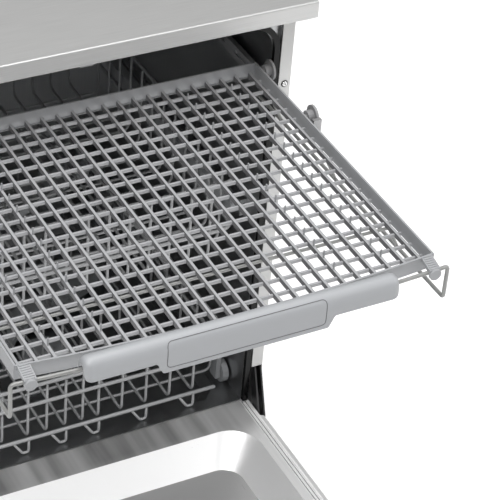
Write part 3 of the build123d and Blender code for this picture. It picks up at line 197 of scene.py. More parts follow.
NOISE_DETAIL = 4.0
TONE_RAMP = (0.3, 0.7)
ROUGHNESS_SPREAD = 0.05
LEAST_ROUGHNESS = 0.02
RELIEF_DEPTH = 0.0002


def finish_of(name, slot, colour, roughness, metallic, grain, scale, mottle, bump=0.0, coat=0.0):
    """A procedural finish: a stretched noise varies its tone, its roughness and its surface."""
    material = bpy.data.materials.new(name)
    material["slot"] = slot
    material.use_nodes = True
    tree = material.node_tree
    shader = tree.nodes["Principled BSDF"]
    shader.inputs["Metallic"].default_value = metallic
    shader.inputs["Coat Weight"].default_value = coat
    place = tree.nodes.new("ShaderNodeTexCoord")
    noise = stretched_noise(tree, place, grain, scale, NOISE_DETAIL)
    rough = tree.nodes.new("ShaderNodeMapRange")
    rough.inputs["To Min"].default_value = max(LEAST_ROUGHNESS, roughness - ROUGHNESS_SPREAD)
    rough.inputs["To Max"].default_value = min(1.0, roughness + ROUGHNESS_SPREAD)
    tree.links.new(noise.outputs["Fac"], rough.inputs["Value"])
    tree.links.new(rough.outputs["Result"], shader.inputs["Roughness"])
    dark = tuple(c * (1 - mottle) for c in colour) + (1,)
    pale = tuple(min(1.0, c * (1 + mottle)) for c in colour) + (1,)
    tone = ramp_of(tree, TONE_RAMP, dark, pale)
    tree.links.new(noise.outputs["Fac"], tone.inputs["Fac"])
    tree.links.new(tone.outputs["Color"], shader.inputs["Base Color"])
    if bump:
        relief = tree.nodes.new("ShaderNodeBump")
        relief.inputs["Strength"].default_value = bump
        relief.inputs["Distance"].default_value = RELIEF_DEPTH
        tree.links.new(noise.outputs["Fac"], relief.inputs["Height"])
        tree.links.new(relief.outputs["Normal"], shader.inputs["Normal"])
    return material


def stretched_noise(tree, place, grain, scale, detail):
    """A noise in the object's own coordinates, drawn out along its grain."""
    stretch = tree.nodes.new("ShaderNodeMapping")
    stretch.inputs["Scale"].default_value = grain
    noise = tree.nodes.new("ShaderNodeTexNoise")
    noise.inputs["Scale"].default_value = scale
    noise.inputs["Detail"].default_value = detail
    tree.links.new(place.outputs["Object"], stretch.inputs["Vector"])
    tree.links.new(stretch.outputs["Vector"], noise.inputs["Vector"])
    return noise


def ramp_of(tree, places, dark, pale):
    ramp = tree.nodes.new("ShaderNodeValToRGB")
    for element, position, colour in zip(ramp.color_ramp.elements, places, (dark, pale)):
        element.position = position
        element.color = colour
    return ramp


def masked(tree, tone, value, limits, paint):
    """Lays a colour, or the output of a node, over a tone where the value passes its limits."""
    mask = tree.nodes.new("ShaderNodeMapRange")
    mask.inputs["From Min"].default_value, mask.inputs["From Max"].default_value = limits
    mask.interpolation_type = "SMOOTHSTEP"
    tree.links.new(value, mask.inputs["Value"])
    mix = tree.nodes.new("ShaderNodeMixRGB")
    tree.links.new(mask.outputs["Result"], mix.inputs["Fac"])
    tree.links.new(tone, mix.inputs["Color1"])
    if isinstance(paint, tuple):
        mix.inputs["Color2"].default_value = paint
    else:
        tree.links.new(paint, mix.inputs["Color2"])
    return mix.outputs["Color"]


def unsigned(tree, value):
    size = tree.nodes.new("ShaderNodeMath")
    size.operation = "ABSOLUTE"
    tree.links.new(value, size.inputs[0])
    return size.outputs[0]


def parts_of(tree, vector):
    parts = tree.nodes.new("ShaderNodeSeparateXYZ")
    tree.links.new(vector, parts.inputs["Vector"])
    return parts.outputs


RIB_SIDE_TONE = (0.10, 0.10, 0.104, 1)
RIB_SIDE_FACING = (0.6, 0.9)


def shade_ribs(material):
    """Darkens the sides of the ribs, which the light from above hardly reaches."""
    tree = material.node_tree
    shader = tree.nodes["Principled BSDF"]
    facing = parts_of(tree, tree.nodes["Texture Coordinate"].outputs["Normal"])
    tone = shader.inputs["Base Color"].links[0].from_socket
    tone = masked(tree, tone, unsigned(tree, facing["X"]), RIB_SIDE_FACING, RIB_SIDE_TONE)
    tree.links.new(tone, shader.inputs["Base Color"])


# Painted reflections of the rack wires and the dark tub, drawn as streaks across the door's ledge
REFLECTION_STREAK_GRAIN = (1, 0.06, 1)
REFLECTION_STREAK_SCALE = 22.0
REFLECTION_STREAK_DETAIL = 3.0
REFLECTION_STREAK_RAMP = (0.38, 0.66)
PAINTED_REFLECTION_DARK = (0.20, 0.20, 0.20, 1)
PAINTED_REFLECTION_PALE = (0.62, 0.62, 0.62, 1)
# Painted shade on the floor of the door's recess
FLOOR_PAINTED_SHADE = (0.48, 0.48, 0.48, 1)
# Painted light on the sloping walls of the recess
SLOPE_PAINTED_LIGHT = (0.98, 0.98, 0.98, 1)
# Painted highlight along the door's side flanges
EDGE_PAINTED_HIGHLIGHT = (0.88, 0.88, 0.88, 1)
LEDGE_Y = (-0.345, -0.305)
FLOOR_Z = (0.1345, 0.1325)
SLOPE_FACING = (0.25, 0.5)
EDGE_X = (0.2680, 0.2700)


def shade_door(material):
    """Paints reflections of the rack wires and the dark tub as streaks on the ledge at the hinge side,
    painted shade on the recess floor, painted light on the slopes and a painted highlight on the side
    flanges.
    """
    tree = material.node_tree
    shader = tree.nodes["Principled BSDF"]
    place = tree.nodes["Texture Coordinate"]
    where = parts_of(tree, place.outputs["Object"])
    facing = parts_of(tree, place.outputs["Normal"])
    reflection_streaks = stretched_noise(tree, place, REFLECTION_STREAK_GRAIN, REFLECTION_STREAK_SCALE, REFLECTION_STREAK_DETAIL)
    reflection_bands = ramp_of(tree, REFLECTION_STREAK_RAMP, PAINTED_REFLECTION_DARK, PAINTED_REFLECTION_PALE)
    tree.links.new(reflection_streaks.outputs["Fac"], reflection_bands.inputs["Fac"])
    tone = shader.inputs["Base Color"].links[0].from_socket
    # painted reflections of the rack wires and the dark tub on the ledge
    tone = masked(tree, tone, where["Y"], LEDGE_Y, reflection_bands.outputs["Color"])
    # painted shade on the recess floor
    tone = masked(tree, tone, where["Z"], FLOOR_Z, FLOOR_PAINTED_SHADE)
    # painted light on the faces that turn sideways, the slopes of the recess
    tone = masked(tree, tone, unsigned(tree, facing["X"]), SLOPE_FACING, SLOPE_PAINTED_LIGHT)
    tone = masked(tree, tone, unsigned(tree, facing["Y"]), SLOPE_FACING, SLOPE_PAINTED_LIGHT)
    # painted highlight on the side flanges
    tone = masked(tree, tone, unsigned(tree, where["X"]), EDGE_X, EDGE_PAINTED_HIGHLIGHT)
    tree.links.new(tone, shader.inputs["Base Color"])


EVEN = (1, 1, 1)
ALONG_X = (0.02, 1, 1)
ALONG_Y = (1, 0.02, 1)
ALONG_Z = (1, 1, 0.02)
RUBBER_SHINE = 0.2

# Slot, colour, roughness, metallic share, grain, scale of the noise, mottle, bump and coat
FINISHES = {
    "worktop steel": ("worktop", (0.53, 0.53, 0.525), 0.42, 0.7, ALONG_X, 900, 0.05, 0.12),
    "door steel": ("steel", (0.74, 0.74, 0.74), 0.3, 0.55, ALONG_Y, 700, 0.03, 0.06),
    "door edge": ("steel", (0.72, 0.72, 0.72), 0.45, 0.1, ALONG_Y, 700, 0.01, 0.03),
    "tub steel": ("steel", (0.40, 0.405, 0.41), 0.32, 1.0, ALONG_Z, 500, 0.04, 0.06),
    "panel paint": ("enamel", (0.54, 0.54, 0.535), 0.35, 0.2, EVEN, 900, 0.01, 0.04),
    "zinc": ("zinc", (0.5, 0.51, 0.52), 0.42, 0.8, EVEN, 90, 0.12, 0.02),
    "screw steel": ("bright_steel", (0.7, 0.7, 0.7), 0.25, 1.0, EVEN, 900, 0.03),
    "rail steel": ("bright_steel", (0.34, 0.34, 0.345), 0.4, 0.7, ALONG_Y, 500, 0.04),
    "coated wire": ("wire", (0.36, 0.365, 0.37), 0.42, 0.0, EVEN, 500, 0.03, 0.04, 0.2),
    "frame wire": ("wire", (0.25, 0.252, 0.245), 0.38, 0.2, EVEN, 500, 0.03, 0.04, 0.2),
    "tray plastic": ("grey_plastic", (0.28, 0.285, 0.295), 0.42, 0.0, EVEN, 1400, 0.02, 0.05),
    "rib plastic": ("grey_plastic", (0.30, 0.303, 0.312), 0.42, 0.0, EVEN, 1400, 0.02, 0.05),
    "handle plastic": ("grey_plastic", (0.31, 0.318, 0.33), 0.4, 0.0, EVEN, 1600, 0.015, 0.04),
    "grey plastic": ("grey_plastic", (0.36, 0.37, 0.38), 0.45, 0.0, EVEN, 1200, 0.02, 0.05),
    "dark plastic": ("dark_grey_plastic", (0.075, 0.078, 0.08), 0.4, 0.0, EVEN, 1200, 0.05, 0.05),
    "black plastic": ("black_plastic", (0.012, 0.012, 0.013), 0.3, 0.0, EVEN, 1200, 0.05, 0.05),
    "white plastic": ("white_plastic", (0.72, 0.72, 0.71), 0.35, 0.0, EVEN, 1200, 0.01, 0.03),
    "roller plastic": ("white_plastic", (0.22, 0.22, 0.225), 0.4, 0.0, EVEN, 1200, 0.02, 0.03),
    "screw shadow": ("bright_steel", (0.04, 0.04, 0.04), 0.5, 0.6, EVEN, 900, 0.03),
    # painted shade in the grooves of the door's side strips
    "groove": ("grey_plastic", (0.09, 0.09, 0.09), 0.5, 0.0, EVEN, 900, 0.03),
    "seam": ("plate", (0.10, 0.10, 0.105), 0.5, 0.0, EVEN, 900, 0.02),
    "plate": ("plate", (0.42, 0.43, 0.445), 0.34, 0.0, EVEN, 1600, 0.01, 0.02),
    "rubber": ("seal", (0.003, 0.003, 0.003), 0.22, 0.0, EVEN, 800, 0.05, 0.05),
    "pressed board": ("board", (0.45, 0.34, 0.22), 0.7, 0.0, EVEN, 300, 0.15, 0.1),
    "display glass": ("window", (0.01, 0.01, 0.012), 0.08, 0.0, EVEN, 300, 0.02),
    "pale floor": ("floor", (0.86, 0.86, 0.86), 0.9, 0.0, EVEN, 3, 0.005),
}
BY_SLOT = {
    "worktop": "worktop steel",
    "board": "pressed board",
    "enamel": "panel paint",
    "zinc": "zinc",
    "steel": "tub steel",
    "bright_steel": "rail steel",
    "wire": "coated wire",
    "black_plastic": "black plastic",
    "grey_plastic": "grey plastic",
    "dark_grey_plastic": "dark plastic",
    "white_plastic": "white plastic",
    "seal": "rubber",
    "window": "display glass",
    "plate": "plate",
}
BY_NODE = {
    "door_inner_panel": "door steel",
    "door_side_strips": "door edge",
    "hinge_arms": "black plastic",
    "tray_rollers_front": "roller plastic",
    "tray_rollers_rear": "roller plastic",
}

finishes = {name: finish_of(name, *recipe) for name, recipe in FINISHES.items()}
rubber = finishes["rubber"].node_tree.nodes["Principled BSDF"]
rubber.inputs["Specular IOR Level"].default_value = RUBBER_SHINE
shade_ribs(finishes["rib plastic"])
shade_door(finishes["door steel"])

for entry in frame["record"]["subparts"]:
    node = nodes[entry["node"]]
    node.data.materials.clear()
    node.data.materials.append(finishes[BY_NODE.get(entry["node"], BY_SLOT[entry["material_slot"]])])


# Cutlery tray: a grid of ribs in a basin with low walls
# RIB and BAR give width and height, PIN gives side and height.

RIB_PITCH = 0.0206
ROW_PITCH = 0.0234
FIRST_ROW = -0.6965
RIB = (0.0036, 0.0068)
BAR = (0.0028, 0.0045)
PIN = (0.0018, 0.011)
PIN_SINK = 0.001
PIN_COLUMNS = (-10, -7, 7, 10)
OUTER_COLUMN = 12
TRIM_STEP = 0.002
RIB_LAP = 0.6
WALL = 0.0024
WALL_DROP = 0.0003
CORNER_LAP = 0.001
TRAY_BOW = 0.014
BOW_STEPS = 24
FRONT_INSET = 0.0082
FRONT_WALL = 0.0185
GRID_LIFT = 0.0092
SEAT = 0.0045

basin_low, basin_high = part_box("tray_basin")
tray_half = basin_high.x
tray_corner = basin_low.y + TRAY_BOW + FRONT_INSET
grid_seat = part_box("tray_grid")[0].z + GRID_LIFT


def bow_at(x):
    """How far the bowed front stands out at x, from nothing at its ends."""
    radius = (tray_half**2 + TRAY_BOW**2) / (2 * TRAY_BOW)
    return math.sqrt(max(0.0, radius**2 - x**2)) - (radius - TRAY_BOW)


def front_line(half, inset):
    """Points along the bowed front wall, from left to right."""
    places = [half * (2 * index / BOW_STEPS - 1) for index in range(BOW_STEPS + 1)]
    return [(x, tray_corner + inset - bow_at(x)) for x in places]


def tray_basin():
    shape = Shape()
    half = tray_half
    back = basin_high.y
    top = basin_high.z
    bottom = top - FRONT_WALL
    foot = grid_seat - WALL_DROP
    shape.rings([
        [(*near, bottom), (*far, bottom), (*far, top), (*near, top)]
        for near, far in zip(front_line(half, 0.0), front_line(half - WALL, WALL))
    ])
    for hand in (-1, 1):
        side = sorted((hand * half, hand * (half - WALL)))
        shape.box((side[0], tray_corner + CORNER_LAP, foot), (side[1], back, top))
    shape.box((-half + WALL, back - WALL, foot), (half - WALL, back, top))
    shape.box((SEAT - half, back - SEAT, foot), (half - SEAT, back - WALL, grid_seat))
    piece(shape, "tray_basin_walls", finishes["tray plastic"], "tray", ["tray_basin"], bevel=0.0005)


def tray_grid():
    half = tray_half - WALL
    back = basin_high.y - WALL
    shape = Shape()
    for column in range(-OUTER_COLUMN, OUTER_COLUMN + 1):
        x = column * RIB_PITCH
        near = tray_corner + WALL * RIB_LAP - bow_at(x)
        shape.box((x - RIB[0] / 2, near, grid_seat), (x + RIB[0] / 2, back, grid_seat + RIB[1]))
    y = FIRST_ROW
    while y < back - BAR[0]:
        reach = half
        while tray_corner + WALL - bow_at(reach) > y - BAR[0] / 2:
            reach -= TRIM_STEP
        shape.box((-reach, y - BAR[0] / 2, grid_seat), (reach, y + BAR[0] / 2, grid_seat + BAR[1]))
        y += ROW_PITCH
    piece(shape, "tray_grid_ribs", finishes["rib plastic"], "tray", ["tray_grid"], bevel=0.0004)


def tray_pins():
    """Rows of short pins on four of the ribs."""
    shape = Shape()
    back = basin_high.y - WALL
    bottom = grid_seat + RIB[1] - PIN_SINK
    reach = PIN[0] / 2
    for column in PIN_COLUMNS:
        x = column * RIB_PITCH
        y = FIRST_ROW + ROW_PITCH * 1.5
        while y < back - ROW_PITCH / 2:
            shape.box((x - reach, y - reach, bottom), (x + reach, y + reach, bottom + PIN[1]))
            y += ROW_PITCH
    piece(shape, "tray_pin_rows", finishes["tray plastic"], "tray", ["tray_pins"], bevel=0.0003)


# Clip arms of the tray: each slopes down to a round boss on the front wire, with ridges across its top

CLIP_X = (0.2400, 0.2545)
CLIP_FRONT = -0.7160
CLIP_ROOT = 0.7312
CLIP_TIP = 0.7262
CLIP_SKIN = 0.0050
CLIP_LAP = 0.0005
RIDGES = 7
RIDGE_RISE = 0.0008
RIDGE_DEPTH = 0.0020
RIDGE_INSET = 0.0014
RIDGE_HALF = 0.0007
BOSS_X = 0.2475
BOSS_RADIUS = 0.0074
BOSS_HEIGHT = 0.7188
BOSS_DEPTH = 0.0046
BOSS_EASE = 0.0008
BOSS_LAP = 0.002
BOSS_PROFILE = (
    (0.0, 0.0),
    (BOSS_RADIUS - BOSS_EASE, 0.0),
    (BOSS_RADIUS, BOSS_EASE),
    (BOSS_RADIUS, BOSS_DEPTH),
    (0.0, BOSS_DEPTH),
)


def tray_clips():
    shape = Shape()
    root = tray_corner + CLIP_LAP
    tip = CLIP_FRONT + BOSS_DEPTH - BOSS_LAP
    for hand in (-1, 1):
        low_x, high_x = sorted((hand * CLIP_X[0], hand * CLIP_X[1]))
        shape.rings([
            [(low_x, y, top - CLIP_SKIN), (high_x, y, top - CLIP_SKIN), (high_x, y, top), (low_x, y, top)]
            for y, top in ((tip, CLIP_TIP - RIDGE_RISE), (root, CLIP_ROOT - RIDGE_RISE))
        ])
        for step in range(RIDGES):
            share = (step + 0.5) / RIDGES
            y = root + (tip - root) * share
            top = CLIP_ROOT + (CLIP_TIP - CLIP_ROOT) * share
            shape.box(
                (low_x + RIDGE_INSET, y - RIDGE_HALF, top - RIDGE_DEPTH),
                (high_x - RIDGE_INSET, y + RIDGE_HALF, top),
            )
        shape.turned(BOSS_PROFILE, (hand * BOSS_X, CLIP_FRONT, BOSS_HEIGHT), (0, 1, 0), sides=28)
    piece(shape, "tray_clip_arms", finishes["tray plastic"], "tray", bevel=0.0004)


# Handle of the tray: a shell rolled over its top, deeper in the middle, with a blank plate let in
# ROLL gives points of the rolled top: back from the front face, down from the top.

HANDLE_HALF = 0.192
HANDLE_TOP = 0.7400
HANDLE_FRONT = -0.7297
HANDLE_SKIN = 0.0022
HANDLE_LOW = 0.6985
HANDLE_END_LOW = 0.7135
MIDDLE_SHARES = (0.0, 0.25, 0.45)
OUTER_PLACES = (0.130, 0.155, 0.172)
STEP_AT = 0.100
STEP_RUN = 0.010
STEP_CUTS = 6
END_RUN = 0.009
END_CUTS = 8
END_DROP = 0.007
END_RISE = 0.006
END_INWARD = 0.0045
END_SHRINK = 0.3
ROLL = (
    (0.0, 0.0150), (0.0004, 0.0105), (0.0018, 0.0060), (0.0045, 0.0024), (0.0085, 0.0004),
    (0.0120, 0.0), (0.0160, 0.0008), (0.0200, 0.0034), (0.0230, 0.0072), (0.0248, 0.0120),
)
ROLL_CENTRE = (0.0125, 0.014)
BRACE_X = (0.150, 0.158)
BRACE_Z = (0.7175, 0.7195)
BRACE_FRONT = -0.7105
BRACE_GAP = 0.004


def handle_bottom(x):
    """The lower edge of the handle at x: deep in the middle, then a short steep step."""
    share = min(1.0, max(0.0, (abs(x) - STEP_AT) / STEP_RUN))
    share = share * share * (3 - 2 * share)
    return HANDLE_LOW + (HANDLE_END_LOW - HANDLE_LOW) * share


def handle_ring(x):
    """One section of the handle across its length, as a closed ring."""
    over = min(1.0, max(0.0, (abs(x) - (HANDLE_HALF - END_RUN)) / END_RUN))
    ease = 1 - math.sqrt(max(0.0, 1 - over**2))
    top = HANDLE_TOP - END_DROP * ease
    face = HANDLE_FRONT + END_INWARD * ease
    bottom = handle_bottom(x) + END_RISE * ease
    outer = [(face, bottom)]
    inner = [(face + HANDLE_SKIN, bottom)]
    for reach, fall in ROLL:
        y = face + reach * (1 - END_SHRINK * ease)
        z = top - fall
        lean = Vector((HANDLE_FRONT + ROLL_CENTRE[0] - y, top - ROLL_CENTRE[1] - z))
        lean = lean.normalized() * HANDLE_SKIN
        outer.append((y, z))
        inner.append((y + lean.x, z + lean.y))
    return [(x, y, z) for y, z in outer + inner[::-1]]


def tray_handle():
    places = [HANDLE_HALF * share for share in MIDDLE_SHARES]
    places += [STEP_AT + STEP_RUN * step / STEP_CUTS for step in range(STEP_CUTS + 1)]
    places += OUTER_PLACES
    places += [HANDLE_HALF - END_RUN * (1 - step / END_CUTS) for step in range(END_CUTS + 1)]
    places = [-x for x in reversed(places[1:])] + places
    shape = Shape()
    shape.rings([handle_ring(x) for x in places])
    for hand in (-1, 1):
        brace = sorted((hand * BRACE_X[0], hand * BRACE_X[1]))
        shape.box((brace[0], BRACE_FRONT, BRACE_Z[0]), (brace[1], tray_corner - BRACE_GAP, BRACE_Z[1]))
    piece(shape, "tray_handle_shell", finishes["handle plastic"], "tray", ["tray_handle"], bevel=0.0003)


PLATE_HALF = 0.097
PLATE_Z = (0.7045, 0.7375)
PLATE_CORNER = 0.006
PLATE_CUTS = 6
SEAM_RADIUS = 0.00045


def face_of_handle(z):
    """The handle's outer face at a height: flat below the roll, then over it."""
    line = [(HANDLE_FRONT, HANDLE_LOW)] + [(HANDLE_FRONT + r, HANDLE_TOP - f) for r, f in ROLL[:6]]
    for (y0, z0), (y1, z1) in zip(line, line[1:]):
        if z0 <= z <= z1:
            return y0 + (y1 - y0) * (z - z0) / (z1 - z0)
    return line[-1][0]


def handle_plate():
    """The seam round the blank plate, as a fine dark line on the handle."""
    low, high = PLATE_Z
    corners = [(-PLATE_HALF, 0, low), (PLATE_HALF, 0, low), (PLATE_HALF, 0, high), (-PLATE_HALF, 0, high)]
    flat = rounded(corners, PLATE_CORNER, closed=True, steps=PLATE_CUTS)
    route = []
    for index, point in enumerate(flat):
        following = flat[(index + 1) % len(flat)]
        for step in range(PLATE_CUTS):
            at = point.lerp(following, step / PLATE_CUTS)
            route.append((at.x, face_of_handle(at.z), at.z))
    shape = Shape()
    shape.tube(route, SEAM_RADIUS, 6, closed=True)
    piece(shape, "tray_handle_plate_seam", finishes["seam"], "tray", ["handle_plate"])


tray_basin()
tray_clips()
tray_grid()
tray_pins()
tray_handle()
handle_plate()


# Wires of the tray's frame, with the pins of its rollers

TRAY_WIRE = 0.002
HOOP_WIRE = 0.0024
HOOP_HALF = 0.268
HOOP_TOP = 0.7205
HOOP_BOW = 0.0095
HOOP_STEPS = 12
HOOP_BEND = 0.005
SIDE_WIRE = 0.6755
CROSS_ROWS = (-0.605, -0.455, -0.315)
CROSS_RUN = 0.016
CROSS_BEND = 0.006
CROSS_DROP = 0.0036
ROLLER_PIN_ROWS = (-0.386, -0.273)
ROLLER_HEIGHT = 0.728
ROLLER_PIN = (
    (0.0, 0.2575), (0.003, 0.2575), (0.003, 0.2704), (0.005, 0.2704),
    (0.005, 0.2708), (0.0042, 0.2711), (0.0, 0.2711),
)


def tray_frame():
    low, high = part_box("tray_frame")
    hoop_y = low.y + TRAY_WIRE
    back_y = high.y - TRAY_WIRE
    half = HOOP_HALF
    shape = Shape()
    route = [(-half, back_y, SIDE_WIRE), (-half, hoop_y, SIDE_WIRE)]
    for step in range(HOOP_STEPS + 1):
        x = half * (2 * step / HOOP_STEPS - 1)
        route.append((x, hoop_y - HOOP_BOW * (1 - (x / half) ** 2), HOOP_TOP))
    route += [(half, hoop_y, SIDE_WIRE), (half, back_y, SIDE_WIRE)]
    shape.tube(rounded(route, HOOP_BEND, closed=True), HOOP_WIRE, closed=True)
    cross = grid_seat - CROSS_DROP
    inner = half - CROSS_RUN
    for y in CROSS_ROWS:
        legs = [(-half, y, SIDE_WIRE), (-inner, y, cross), (inner, y, cross), (half, y, SIDE_WIRE)]
        shape.tube(rounded(legs, CROSS_BEND), TRAY_WIRE)
    for y in ROLLER_PIN_ROWS:
        for hand in (-1, 1):
            shape.turned(ROLLER_PIN, (0, y, ROLLER_HEIGHT), (hand, 0, 0), sides=24)
    piece(shape, "tray_frame_wires", finishes["frame wire"], "tray", ["tray_frame"])


# Racks: hoops both ways inside a loop at each rim

THIN_WIRE = 0.002
THIN_SIDES = 8
RIM_WIRE = 0.0027
RIM_SIDES = 10
RIM_BEND = 0.022
RIM_CUTS = 8
RIM_STEP = 0.003
HOOP_CORNER = 0.012
WELD = 0.0026
RACK_Y = (-0.250, 0.218)
RACK_ROW_ENDS = (-0.215, 0.185)

LOWER_HALF = 0.247
LOWER_FLOOR = 0.1875
LOWER_RIMS = (0.250, 0.283)
LOWER_ROWS = 9
LOWER_COLUMNS = (
    -0.201, -0.164, -0.127, -0.090, -0.052, -0.024, 0.004, 0.030, 0.054, 0.090, 0.127, 0.164, 0.201,
)
FOOT_COLUMNS = (-0.201, -0.127, -0.052, 0.004, 0.054, 0.127, 0.201)
FOOT_HEIGHT = 0.1672
FOOT_WIDTH = 0.009
FOOT_SLOPE = 0.024
FOOT_BEND = 0.0045
TINE_COLUMNS = evenly(-0.180, 0.180, 13)
FIXED_TINE_Y = 0.065
FIXED_TINE_HALF = 0.205
FIXED_TINE_HEIGHT = 0.062

UPPER_HALF = 0.243
UPPER_FLOOR = 0.424
UPPER_RIMS = (0.470, 0.548)
UPPER_ROWS = 12
UPPER_COLUMNS = evenly(-0.210, 0.210, 15)


def basket(shape, rows, columns, floor, rims, half):
    near, far = RACK_Y
    top = rims[-1]
    for y in evenly(*RACK_ROW_ENDS, rows):
        hoop = [(-half, y, top), (-half, y, floor), (half, y, floor), (half, y, top)]
        shape.tube(rounded(hoop, HOOP_CORNER), THIN_WIRE, THIN_SIDES)
    raised = floor + WELD
    for x in columns:
        hoop = [(x, near, top), (x, near, raised), (x, far, raised), (x, far, top)]
        shape.tube(rounded(hoop, HOOP_CORNER), THIN_WIRE, THIN_SIDES)
    reach = half + RIM_STEP
    for height in rims:
        loop = [
            (-reach, near - RIM_STEP, height),
            (reach, near - RIM_STEP, height),
            (reach, far + RIM_STEP, height),
            (-reach, far + RIM_STEP, height),
        ]
        shape.tube(rounded(loop, RIM_BEND, closed=True, steps=RIM_CUTS), RIM_WIRE, RIM_SIDES, closed=True)


def lower_rack():
    shape = Shape()
    basket(shape, LOWER_ROWS, LOWER_COLUMNS, LOWER_FLOOR, LOWER_RIMS, LOWER_HALF)
    y = FIXED_TINE_Y
    base = LOWER_FLOOR + WELD * 2
    shape.tube([(-FIXED_TINE_HALF, y, base), (FIXED_TINE_HALF, y, base)], THIN_WIRE, THIN_SIDES)
    for x in TINE_COLUMNS:
        shape.tube([(x, y, base), (x, y, base + FIXED_TINE_HEIGHT)], THIN_WIRE, THIN_SIDES)
    piece(shape, "lower_rack_wires", finishes["coated wire"], "lower_rack", ["lower_rack"])


def lower_rack_feet():
    """The rack's front wire, with a lopsided foot at every second upright."""
    shape = Shape()
    low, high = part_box("lower_rack_feet")
    y = (low.y + high.y) / 2
    sill = LOWER_FLOOR + WELD
    shape.tube([(low.x, y, sill), (high.x, y, sill)], RIM_WIRE, RIM_SIDES)
    for x in FOOT_COLUMNS:
        route = [
            (x, y, sill),
            (x, y, FOOT_HEIGHT),
            (x - FOOT_WIDTH, y, FOOT_HEIGHT),
            (x - FOOT_SLOPE, y, sill),
        ]
        shape.tube(rounded(route, FOOT_BEND), THIN_WIRE, THIN_SIDES)
    piece(shape, "lower_rack_front_feet", finishes["coated wire"], "lower_rack", ["lower_rack_feet"])


def lower_tines():
    low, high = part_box("lower_tines")
    shape = Shape()
    y = (low.y + high.y) / 2
    bar = low.z + THIN_WIRE
    shape.tube([(low.x, y, bar), (high.x, y, bar)], THIN_WIRE, RIM_SIDES)
    for x in TINE_COLUMNS:
        shape.tube([(x, y, bar), (x, y, high.z)], THIN_WIRE, THIN_SIDES)
    piece(shape, "lower_tine_wires", finishes["coated wire"], "lower_tines", ["lower_tines"])


def upper_rack():
    shape = Shape()
    basket(shape, UPPER_ROWS, UPPER_COLUMNS, UPPER_FLOOR, UPPER_RIMS, UPPER_HALF)
    piece(shape, "upper_rack_wires", finishes["coated wire"], "upper_rack", ["upper_rack"])


tray_frame()
lower_rack()
lower_rack_feet()
lower_tines()
upper_rack()


# Screw heads on the front posts, each with painted shade in its socket and a ring of painted shadow round it
# The profiles give radius and height above the post.

SCREW_X = 0.29025
SCREW_HEIGHTS = (0.7033, 0.3000)
SCREW_SEAT = -0.2752
SCREW_SIDES = 24
SCREW_HEAD = (
    (0.0, 0.0008), (0.0010, 0.0008), (0.0011, 0.0020), (0.0026, 0.0020), (0.0036, 0.0014),
    (0.0040, 0.0), (0.0, 0.0),
)
SCREW_SHADOW_RING = ((0.0040, 0.0), (0.0040, 0.0005), (0.0049, 0.0005), (0.0049, 0.0))
SCREW_SOCKET_SHADE = ((0.0, 0.0), (0.00115, 0.0), (0.00115, 0.0012), (0.0, 0.0012))


def post_screws():
    heads = Shape()
    rings = Shape()
    outward = (0, -1, 0)
    for z in SCREW_HEIGHTS:
        for x in (-SCREW_X, SCREW_X):
            place = (x, SCREW_SEAT, z)
            heads.turned(SCREW_HEAD, place, outward, SCREW_SIDES)
            # a ring of painted shadow round the head and painted shade in its socket
            rings.turned(SCREW_SHADOW_RING, place, outward, SCREW_SIDES, closed=True)
            rings.turned(SCREW_SOCKET_SHADE, place, outward, SCREW_SIDES // 2)
    piece(heads, "post_screw_heads", finishes["screw steel"], "cabinet", ["post_screws"])
    piece(rings, "post_screw_painted_shadows", finishes["screw shadow"], "cabinet")


# Fine grooves along the side strips of the door, drawn as dark lines of painted shade

GROOVES = (0.2725, 0.2775, 0.2835)
GROOVE_HALF = 0.0005
GROOVE_DEPTH = 0.0008
GROOVE_RISE = 0.00012
GROOVE_FRONT_GAP = 0.002
GROOVE_BACK_GAP = 0.001
PROBE_Y = -0.6
PROBE_TOP = 0.2


def height_on(node, x, y):
    """The height at which a fall from above meets a solid."""
    turn = node.matrix_world.inverted()
    start = turn @ Vector((x, y, PROBE_TOP))
    hit, place, *_ = node.ray_cast(start, (turn.to_3x3() @ Vector((0, 0, -1))).normalized())
    return (node.matrix_world @ place).z if hit else None


def door_grooves():
    shape = Shape()
    low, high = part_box("door_side_strips")
    for hand in (-1, 1):
        for groove in GROOVES:
            x = hand * groove
            found = [height_on(nodes[name], x, PROBE_Y) for name in ("door_side_strips", "door_inner_panel")]
            z = max(height for height in found if height is not None)
            shape.box(
                (x - GROOVE_HALF, low.y + GROOVE_FRONT_GAP, z - GROOVE_DEPTH),
                (x + GROOVE_HALF, high.y - GROOVE_BACK_GAP, z + GROOVE_RISE),
            )
    # the dark strips are painted shade in the grooves
    piece(shape, "door_side_groove_shade", finishes["groove"], "door")


post_screws()
door_grooves()


# Solids that are shown as they are

SOLID_EASE = 0.0005

for node in nodes.values():
    if not node.hide_render:
        soften(node, SOLID_EASE)


# Floor, lights and camera

FLOOR_REACH = 6.0
FLOOR_GLOW = 0.25
ROOM_DARK = (0.10, 0.10, 0.10, 1)
WHITE = (1, 1, 1, 1)
ROOM_RAMP = (0.35, 0.95)
ROOM_LIGHT = 0.9

# Place, target, size and power of each lamp
LAMPS = {
    "key light": ((-1.6, -1.8, 3.2), (0, -0.4, 0.6), (1.8, 1.8), 75),
    "fill light": ((2.4, -1.6, 1.8), (0, -0.4, 0.5), (1.6, 1.6), 30),
    "top light": ((0.2, -0.6, 3.6), (0, -0.5, 0.5), (2.4, 1.6), 50),
}

CAMERA_PLACE = Vector((-0.90593, -2.24585, 2.15592))
CAMERA_AZIMUTH = math.radians(-30.6365)
CAMERA_ELEVATION = math.radians(36.8057)
CAMERA_ROLL = math.radians(5.1327)
CAMERA_FIELD = math.radians(13.55)
CAMERA_NEAR = 0.05


